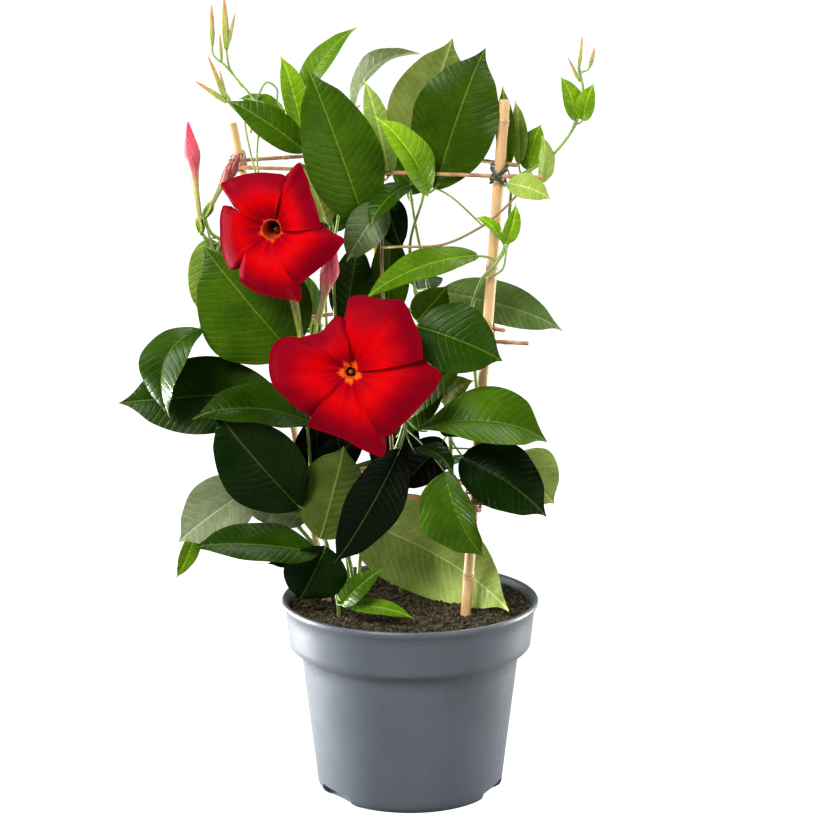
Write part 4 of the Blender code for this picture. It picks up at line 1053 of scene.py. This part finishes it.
def make_blade(name, leaf, tint, chance, thickness=0.35, rib=0.45):
    """One blade from a grid: shaped along its arch, folded at the midrib, quilted and waved."""
    base, tip, width, facing, arch, fold = leaf[:6]
    belly = leaf[6] if len(leaf) > 6 else BELLY
    start = Vector(base)
    along = Vector(tip) - start
    length = along.length
    ahead = along.normalized()
    up = Vector(facing)
    up = (up - ahead * up.dot(ahead)).normalized()
    across = ahead.cross(up)
    rows = int(min(96, max(14, length * 0.9)))
    columns = int(min(30, max(8, width * 0.55)) / 2) * 2
    let_go()
    bpy.ops.mesh.primitive_grid_add(x_subdivisions=columns, y_subdivisions=rows, size=1.0)
    blade = bpy.context.active_object
    mesh = blade.data
    flat = np.empty(len(mesh.vertices) * 3)
    mesh.vertices.foreach_get("co", flat)
    flat = flat.reshape(-1, 3)
    x = flat[:, 0] * 2
    t = flat[:, 1] + 0.5
    s = x * (0.45 + 0.55 * x * x)
    outline = half_width(t, belly)
    half = outline * width / 2
    off = s * half
    waves = chance.uniform(1.6, 2.8)
    shift = chance.uniform(0, tau)
    raised = fold * half * (np.abs(s) - 0.35 * s * s)
    wave = np.sin(tau * waves * t + shift + (s > 0) * 2.1)
    raised += 0.045 * width / 2 * s * s * wave * np.minimum(1, outline * 1.4)
    raised -= rib * np.exp(-(off / 0.75) ** 2) * np.clip(1.15 - t, 0, 1)
    climb = (t * length / 100 - VEIN_SWEEP * (np.abs(off) / 100) ** VEIN_BEND) / VEIN_SPACING_DM
    ripple = 0.16 * np.abs(np.sin(pi * climb)) * np.clip(np.abs(off) / 4, 0, 1)
    ripple *= np.clip((1 - np.abs(s)) * 5, 0, 1)
    raised += ripple * min(1.0, width / 24)
    lift = arch * length * 4 * t * (1 - t)
    droop = -0.035 * length * np.clip((t - 0.78) / 0.22, 0, 1) ** 2
    slope = arch * 4 * (1 - 2 * t)
    u, a, c = np.array(up), np.array(ahead), np.array(across)
    normal = u - np.outer(slope, a)
    normal /= np.linalg.norm(normal, axis=1)[:, None]
    place = np.array(start) + np.outer(t * length, a) + np.outer(lift + droop, u) + np.outer(off, c)
    place += normal * raised[:, None]
    mesh.vertices.foreach_set("co", (place * MM).ravel())
    spots = np.empty(len(mesh.loops), dtype=np.int32)
    mesh.loops.foreach_get("vertex_index", spots)
    uv = np.column_stack((0.5 + off / 100, t * length / 100))[spots]
    mesh.uv_layers[0].name = "UVMap"
    mesh.uv_layers[0].data.foreach_set("uv", uv.ravel())
    shade = mesh.attributes.new("leaf_tint", "FLOAT_COLOR", "POINT")
    mark = chance.uniform(0.88, 1.14)
    colour = np.tile(np.array((*[channel * mark for channel in tint], 1.0)), (len(mesh.vertices), 1))
    shade.data.foreach_set("color", colour.ravel())
    mesh.update()
    if mesh.polygons[0].normal.dot(up) < 0:
        mesh.flip_normals()
    blade.name = name
    use_modifier(blade, "SOLIDIFY", thickness=thickness * MM, offset=-1.0, material_offset=1,
                 use_even_offset=False)
    smooth(blade, 60)
    return blade


def nearest_on(path, point):
    return min(path, key=lambda spot: (spot - point).length)


def leaf_root(path, leaf):
    """Where the leaf's stalk leaves the stem: the place on it nearest to just behind the blade."""
    base, tip = Vector(leaf[0]), Vector(leaf[1])
    return nearest_on(path, base - (tip - base).normalized() * 4)


def make_leaf_stalk(name, path, leaf):
    base, tip = Vector(leaf[0]), Vector(leaf[1])
    ahead = (tip - base).normalized()
    length = (tip - base).length
    root = leaf_root(path, leaf)
    up = Vector(leaf[3]).normalized()
    gap = (base - root).length
    entry = base + ahead * length * 0.02 - up * 0.3
    run = [root, root.lerp(base, 0.55) - ahead * gap * 0.10, entry, base + ahead * length * 0.09 - up * 0.5]
    points = smooth_path(run, 1.5)
    thick = 0.75 if length > 60 else 0.55
    radii = [thick * (1.25 - 0.55 * i / (len(points) - 1)) for i in range(len(points))]
    radii[-1] = 0.2
    return bar_along(name, points, radii, 2)


def make_spindle(name, foot, tip, radius, shape, folds, twist, depth, sides=24, rows=40):
    """A bud from a grid rolled up: its folds wind round it, and its seam is merged."""
    start, stop = Vector(foot), Vector(tip)
    ahead = (stop - start).normalized()
    side = ahead.orthogonal().normalized()
    other = ahead.cross(side)
    let_go()
    bpy.ops.mesh.primitive_grid_add(x_subdivisions=sides, y_subdivisions=rows, size=1.0)
    bud = bpy.context.active_object
    mesh = bud.data
    heights = [h for h, _ in shape]
    widths = [w for _, w in shape]
    for vertex in mesh.vertices:
        turn = (vertex.co.x + 0.5) * tau
        t = vertex.co.y + 0.5
        wide = float(np.interp(t, heights, widths)) * radius
        if t < 0.001 or t > 0.999:
            wide = 0.0
        wave = ((turn * folds / tau + twist * t) % 1.0)
        wide *= 1 - depth * (1 - wave) ** 2 * min(1.0, t * 3)
        spot = start.lerp(stop, t) + (side * cos(turn) + other * sin(turn)) * wide
        vertex.co = spot * MM
    bud.name = name
    mesh.uv_layers[0].name = "UVMap"
    outward(bud)
    smooth(bud, 50)
    return bud


def smooth_shape(shape):
    """The same outline with rounded steps between its stations."""
    heights = np.array([h for h, _ in shape])
    widths = np.array([w for _, w in shape])
    fine = np.linspace(0, 1, 41)
    rough = np.interp(fine, heights, widths)
    soft = rough.copy()
    for _ in range(4):
        soft[1:-1] = (soft[:-2] + 2 * soft[1:-1] + soft[2:]) / 4
    return list(zip(fine.tolist(), soft.tolist()))


GREEN_BUD_SHAPE = smooth_shape(
    ((0.0, 0.5), (0.2, 0.8), (0.35, 1.0), (0.6, 0.85), (0.85, 0.45), (1.0, 0.12)))
ROLLED_BUD_SHAPE = smooth_shape(
    ((0.0, 0.34), (0.3, 0.36), (0.48, 0.56), (0.68, 1.04), (0.86, 0.50), (1.0, 0.10)))


def make_calyx(name, stem_path, foot, ahead, radius, tint, chance):
    """The stalk of a flower or bud, its green cup and five pointed sepals."""
    top = Vector(foot) - ahead * GAP
    cup = [top - ahead * 8.5, top - ahead * 7, top - ahead * 4, top + ahead * 0.5]
    root = nearest_on(stem_path, top - ahead * 10)
    run = smooth_path([root, root.lerp(cup[0], 0.5) - ahead * 2, cup[0] + ahead * 2], 1.5)
    stalk = bar_along(name + "_stalk", run, [1.15 - 0.25 * i / len(run) for i in range(len(run))], 2)
    cup_part = bar_along(name + "_cup", cup, [0.9, radius * 0.7, radius * 0.92, radius * 0.9], 3)
    side = ahead.orthogonal().normalized()
    other = ahead.cross(side)
    sepals = []
    for number in range(5):
        turn = tau * number / 5 + 0.3
        out = side * cos(turn) + other * sin(turn)
        base = cup[1] + out * radius * 0.75
        tip = cup[3] + ahead * 3.0 + out * (radius + 0.5)
        sepal = (base, tip, radius * 1.2, out, 0.08, 0.25)
        sepals.append(make_blade(f"{name}_sepal{number}", sepal, tint, chance, thickness=0.5, rib=0.05))
    return [stalk, cup_part], sepals


def flower_supports(vine_name, chance):
    path = smooth_path(VINES[vine_name]["stem"], 3)
    stalks, sepals = [], []
    tint = LEAF_TINTS["pale"]
    for name, (owner, foot, throat, facing, _, _) in FLOWERS.items():
        if owner == vine_name:
            neck = Vector(throat) - Vector(facing).normalized() * NECK_LENGTH
            ahead = (neck - Vector(foot)).normalized()
            made = make_calyx(name, path, foot, ahead, 2.3, tint, chance)
            stalks += made[0]
            sepals += made[1]
    for name, (owner, foot, tip, radius) in BUDS.items():
        if owner == vine_name:
            ahead = (Vector(tip) - Vector(foot)).normalized()
            seat = Vector(foot) + ahead * BUD_SEAT
            made = make_calyx(name, path, seat, ahead, max(1.7, radius * 0.40), tint, chance)
            stalks += made[0]
            sepals += made[1]
    return stalks, sepals


def make_vine(name, plan, finishes, chance):
    path = smooth_path(plan["stem"], 2.5)
    fine = smooth_path(plan["stem"], 3)
    roots = [leaf_root(fine, leaf) for leaf in plan["leaves"]]
    last = len(path) - 1
    radii = []
    for i, spot in enumerate(path):
        near = min((spot - root).length for root in roots)
        knee = 0.35 * max(0.0, 1 - (near / 3.2) ** 2)
        radii.append(STEM_RADIUS * (1 - 0.42 * i / last) * 0.94 + knee)
    stems = [bar_along(name + "_stem", path, radii, 3)]
    for number, (points, radius) in enumerate(TWIGS.get(name, ())):
        twig = smooth_path(points, 1.6)
        thin = [radius * (1 - 0.2 * i / len(twig)) for i in range(len(twig))]
        stems.append(bar_along(f"{name}_twig{number}", twig, thin, 2))
    blades = []
    for number, leaf in enumerate(plan["leaves"]):
        tint = LEAF_TINTS[LEAF_LOOKS[name][number]]
        blades.append(make_blade(f"{name}_leaf{number}", leaf, tint, chance))
        stems.append(make_leaf_stalk(f"{name}_petiole{number}", fine, leaf))
    stalks, sepals = flower_supports(name, chance)
    foliage = join("leaves_" + name[5:], blades + sepals)
    coat(foliage, finishes["leaf_top"], finishes["leaf_under"])
    hand_over(foliage, "foliage", name)
    growth = join("stems_" + name[5:], stems + stalks)
    coat(growth, finishes["old_stem"] if name in OLD_STEMS else finishes["young_stem"])
    hand_over(growth, "foliage", name)
    buds = []
    for number, (owner, foot, tip, radius) in enumerate(GREEN_BUDS):
        if owner == name:
            bud = make_spindle(f"{name}_bud{number}", foot, tip, radius, GREEN_BUD_SHAPE,
                               folds=2, twist=0.8, depth=0.12, sides=14, rows=20)
            buds.append(bud)
    if buds:
        cluster = join("green_buds_" + name[5:], buds)
        coat(cluster, finishes["green_bud"])
        hand_over(cluster, "foliage", name)


# Flowers

def flower_axes(facing):
    out = Vector(facing).normalized()
    side = out.cross(Vector((0, 0, 1))).normalized() * -1
    return side, side.cross(out).normalized() * -1, out


def through(corners, share):
    """The angle and reach of a petal's edge, on a smooth curve through its given corners."""
    knots = [np.array(corner, dtype=float) for corner in corners]
    column = share * (len(knots) - 1)
    index = min(len(knots) - 2, int(column))
    knots = [2 * knots[0] - knots[1]] + knots + [2 * knots[-1] - knots[-2]]
    t = column - index
    before, start, stop, after = knots[index:index + 4]
    bend = (2 * before - 5 * start + 4 * stop - after) * t * t
    twist = (3 * start - before - 3 * stop + after) * t ** 3
    return (2 * start + (stop - before) * t + bend + twist) / 2


def make_petal(name, throat, axes, opening, corners, chance):
    """One lobe from a grid, one side over its neighbour, with soft folds and a rolled edge."""
    right, high, out = axes
    middle = (corners[0][0] + corners[-1][0]) / 2
    let_go()
    bpy.ops.mesh.primitive_grid_add(x_subdivisions=PETAL_COLUMNS, y_subdivisions=PETAL_ROWS, size=1.0)
    lobe = bpy.context.active_object
    mesh = lobe.data
    shift = chance.uniform(0, tau)
    spots = []
    rings = mesh.attributes.new("edge_share", "FLOAT", "POINT")
    for vertex in mesh.vertices:
        share = vertex.co.x + 0.5
        ring = vertex.co.y + 0.5
        angle, reach = through(corners, share)
        turn = radians(middle + (angle - middle) * (1.10 - 0.10 * ring))
        radius = opening + (reach - opening) * ring
        height = 6.0 * sin(pi * min(1.0, ring * 1.05)) ** 1.1 - 4.0 * (1 - ring) ** 3
        height += (share - 0.5) * 4 * (0.3 + 0.9 * ring)
        height += 0.8 * ring * ring * sin(share * 10.0 + shift)
        height += 0.30 * ring * sin(share * 27.0 + shift * 2)
        height -= 1.8 * max(0.0, (ring - 0.82) / 0.18) ** 2 * (0.3 + 0.7 * sin(share * 5 + shift) ** 2)
        height -= 2.4 * ring * max(0.0, 1 - share * 6) ** 2
        spot = throat + right * cos(turn) * radius + high * sin(turn) * radius + out * height
        spots.append((spot, share, radius / 100))
        rings.data[vertex.index].value = ring
        vertex.co = spot * MM
    layer = mesh.uv_layers[0]
    layer.name = "UVMap"
    for loop, place in zip(mesh.loops, layer.data):
        _, along, reach = spots[loop.vertex_index]
        place.uv = (along, reach)
    mesh.update()
    if mesh.polygons[len(mesh.polygons) // 2].normal.dot(out) < 0:
        mesh.flip_normals()
    lobe.name = name
    use_modifier(lobe, "SOLIDIFY", thickness=0.4 * MM, offset=-1.0)
    smooth(lobe, 60)
    return lobe


def mark_along(thing, path):
    """Writes on each point how far along the path it lies, from 0 at the foot to 1 at the mouth."""
    marks = thing.data.attributes.new("along", "FLOAT", "POINT")
    last = len(path) - 1
    for vertex in thing.data.vertices:
        spot = vertex.co / MM
        marks.data[vertex.index].value = min(range(last + 1), key=lambda i: (path[i] - spot).length) / last


def make_flower(name, finishes, chance):
    _, foot, throat, facing, mouth, petals = FLOWERS[name]
    opening, depth = mouth
    throat = Vector(throat)
    axes = flower_axes(facing)
    out = axes[2]
    foot = Vector(foot)
    neck = throat - out * NECK_LENGTH
    tube_path = smooth_path([foot, foot.lerp(neck, 0.5), neck, throat - out * 10, throat - out * 3.2], 1.5)
    count = len(tube_path) - 1
    radii = [2.0 + (opening + 0.5 - 2.0) * (i / count) ** 1.5 for i in range(count + 1)]
    funnel = bar_along("tube_" + name[7:], tube_path, radii, 6, capped=False)
    use_modifier(funnel, "SOLIDIFY", thickness=0.45 * MM, offset=-1.0)
    mark_along(funnel, tube_path)
    coat(funnel, finishes["tube"])
    hand_over(funnel, "petals_red", name)
    short = name[7:]
    lobes = []
    for i, plan in enumerate(petals):
        lobes.append(make_petal(f"{short}_petal{i}", throat, axes, opening, plan, chance))
    corolla = join("petals_" + short, lobes)
    coat(corolla, finishes["petal"])
    hand_over(corolla, "petals_red", name)
    cone = make_spindle("stamens_" + short, throat - out * (depth + 9), throat - out * (depth - 3.5), 2.2,
                        smooth_shape(((0, 0.7), (0.5, 1.0), (1.0, 0.1))), folds=5, twist=0.0, depth=0.25)
    coat(cone, finishes["cone"])
    hand_over(cone, "petals_red", name)


def make_bud(name, finishes):
    _, foot, tip, radius = BUDS[name]
    foot, tip = Vector(foot), Vector(tip)
    foot += (tip - foot).normalized() * BUD_SEAT
    wilted = name == "bud_wilted"
    depth = 0.3 if wilted else 0.2
    bud = make_spindle("rolled_" + name[4:], foot, tip, radius, ROLLED_BUD_SHAPE,
                       folds=3, twist=1.6, depth=depth, sides=36, rows=60)
    coat(bud, finishes["wilted" if wilted else "pink"])
    hand_over(bud, "bud_wilted" if wilted else "bud_pink", name)


def make_plant():
    finishes = {
        "leaf_top": leaf_finish("leaf_gloss", False),
        "leaf_under": leaf_finish("leaf_underside", True),
        "young_stem": stem_finish("young_green_stem", (0.20, 0.30, 0.06), (0.13, 0.20, 0.05),
                                  (0.16, 0.10, 0.04)),
        "old_stem": stem_finish("old_brown_stem", (0.22, 0.17, 0.06), (0.20, 0.11, 0.05), (0.10, 0.05, 0.03)),
        "green_bud": bud_finish("green_bud", (0.26, 0.36, 0.07), (0.34, 0.34, 0.10), (0.50, 0.20, 0.08),
                                (0.05, 0.5)),
        "pink": bud_finish("rolled_pink_bud", (0.44, 0.47, 0.17), (0.60, 0.14, 0.17), (0.58, 0.045, 0.09),
                           (0.26, 0.62)),
        "wilted": bud_finish("wilted_bud", (0.28, 0.27, 0.09), (0.34, 0.09, 0.08), (0.22, 0.04, 0.04),
                             (0.3, 0.6)),
        "petal": petal_finish(),
        "tube": throat_finish(),
        "cone": cone_finish(),
    }
    chance = np.random.default_rng(21)
    for name, plan in VINES.items():
        make_vine(name, plan, finishes, chance)
    for name in FLOWERS:
        make_flower(name, finishes, chance)
    for name in BUDS:
        make_bud(name, finishes)


# Studio

def floor_finish():
    """A pale floor that the lens sees almost white, as on a lit table, while it throws back less light."""
    material, tree, shader = new_finish("pale_floor")
    colour = blend_colours(tree, grain(tree, 0.002, 2.0), (0.34, 0.34, 0.34), (0.36, 0.36, 0.36))
    wire(tree, colour, shader.inputs["Base Color"])
    shader.inputs["Roughness"].default_value = 0.9
    shader.inputs["Specular IOR Level"].default_value = 0.1
    glow = node(tree, "ShaderNodeEmission")
    glow.inputs["Strength"].default_value = FLOOR_GLOW
    mix = node(tree, "ShaderNodeMixShader")
    seen = node(tree, "ShaderNodeLightPath")
    wire(tree, times(tree, seen.outputs["Is Camera Ray"], FLOOR_GLOW_SHARE), mix.inputs["Fac"])
    wire(tree, shader.outputs["BSDF"], mix.inputs[1])
    wire(tree, glow.outputs["Emission"], mix.inputs[2])
    wire(tree, mix.outputs["Shader"], tree.nodes["Material Output"].inputs["Surface"])
    return material


def soft_light(name, place, aim, size, power):
    light = bpy.data.lights.new(name, "AREA")
    light.shape = "RECTANGLE"
    light.size, light.size_y = size
    light.energy = power
    lamp = bpy.data.objects.new(name, light)
    bpy.context.collection.objects.link(lamp)
    lamp.location = place
    lamp.rotation_euler = (Vector(aim) - Vector(place)).to_track_quat("-Z", "Y").to_euler()


def make_studio():
    let_go()
    bpy.ops.mesh.primitive_circle_add(vertices=128, radius=30.0, fill_type="NGON", location=(0, 0, 0))
    floor = bpy.context.active_object
    floor.name = "studio_floor"
    coat(floor, floor_finish())
    world = bpy.data.worlds.new("studio_air")
    world.use_nodes = True
    air = world.node_tree
    background = air.nodes["Background"]
    background.inputs["Color"].default_value = (1.0, 1.0, 1.0, 1.0)
    seen = node(air, "ShaderNodeLightPath")
    strength = spread(air, seen.outputs["Is Camera Ray"], 0.0, 1.0, AIR_LIGHT, AIR_SEEN)
    wire(air, strength, background.inputs["Strength"])
    bpy.context.scene.world = world
    for name, setting in LIGHTS.items():
        soft_light(name, *setting)
    camera = bpy.data.cameras.new("camera")
    camera.lens = FOCAL_LENGTH / PHOTO_SIDE * camera.sensor_width
    eye = bpy.data.objects.new("camera", camera)
    bpy.context.collection.objects.link(eye)
    eye.location = EYE
    eye.rotation_euler = (radians(90 - DOWN_TILT), 0, 0)
    bpy.context.scene.camera = eye
    bpy.context.scene.view_settings.view_transform = "Standard"
    bpy.context.scene.view_settings.look = "Medium High Contrast"


make_studio()
make_pot()
make_soil()
make_frame()
make_plant()
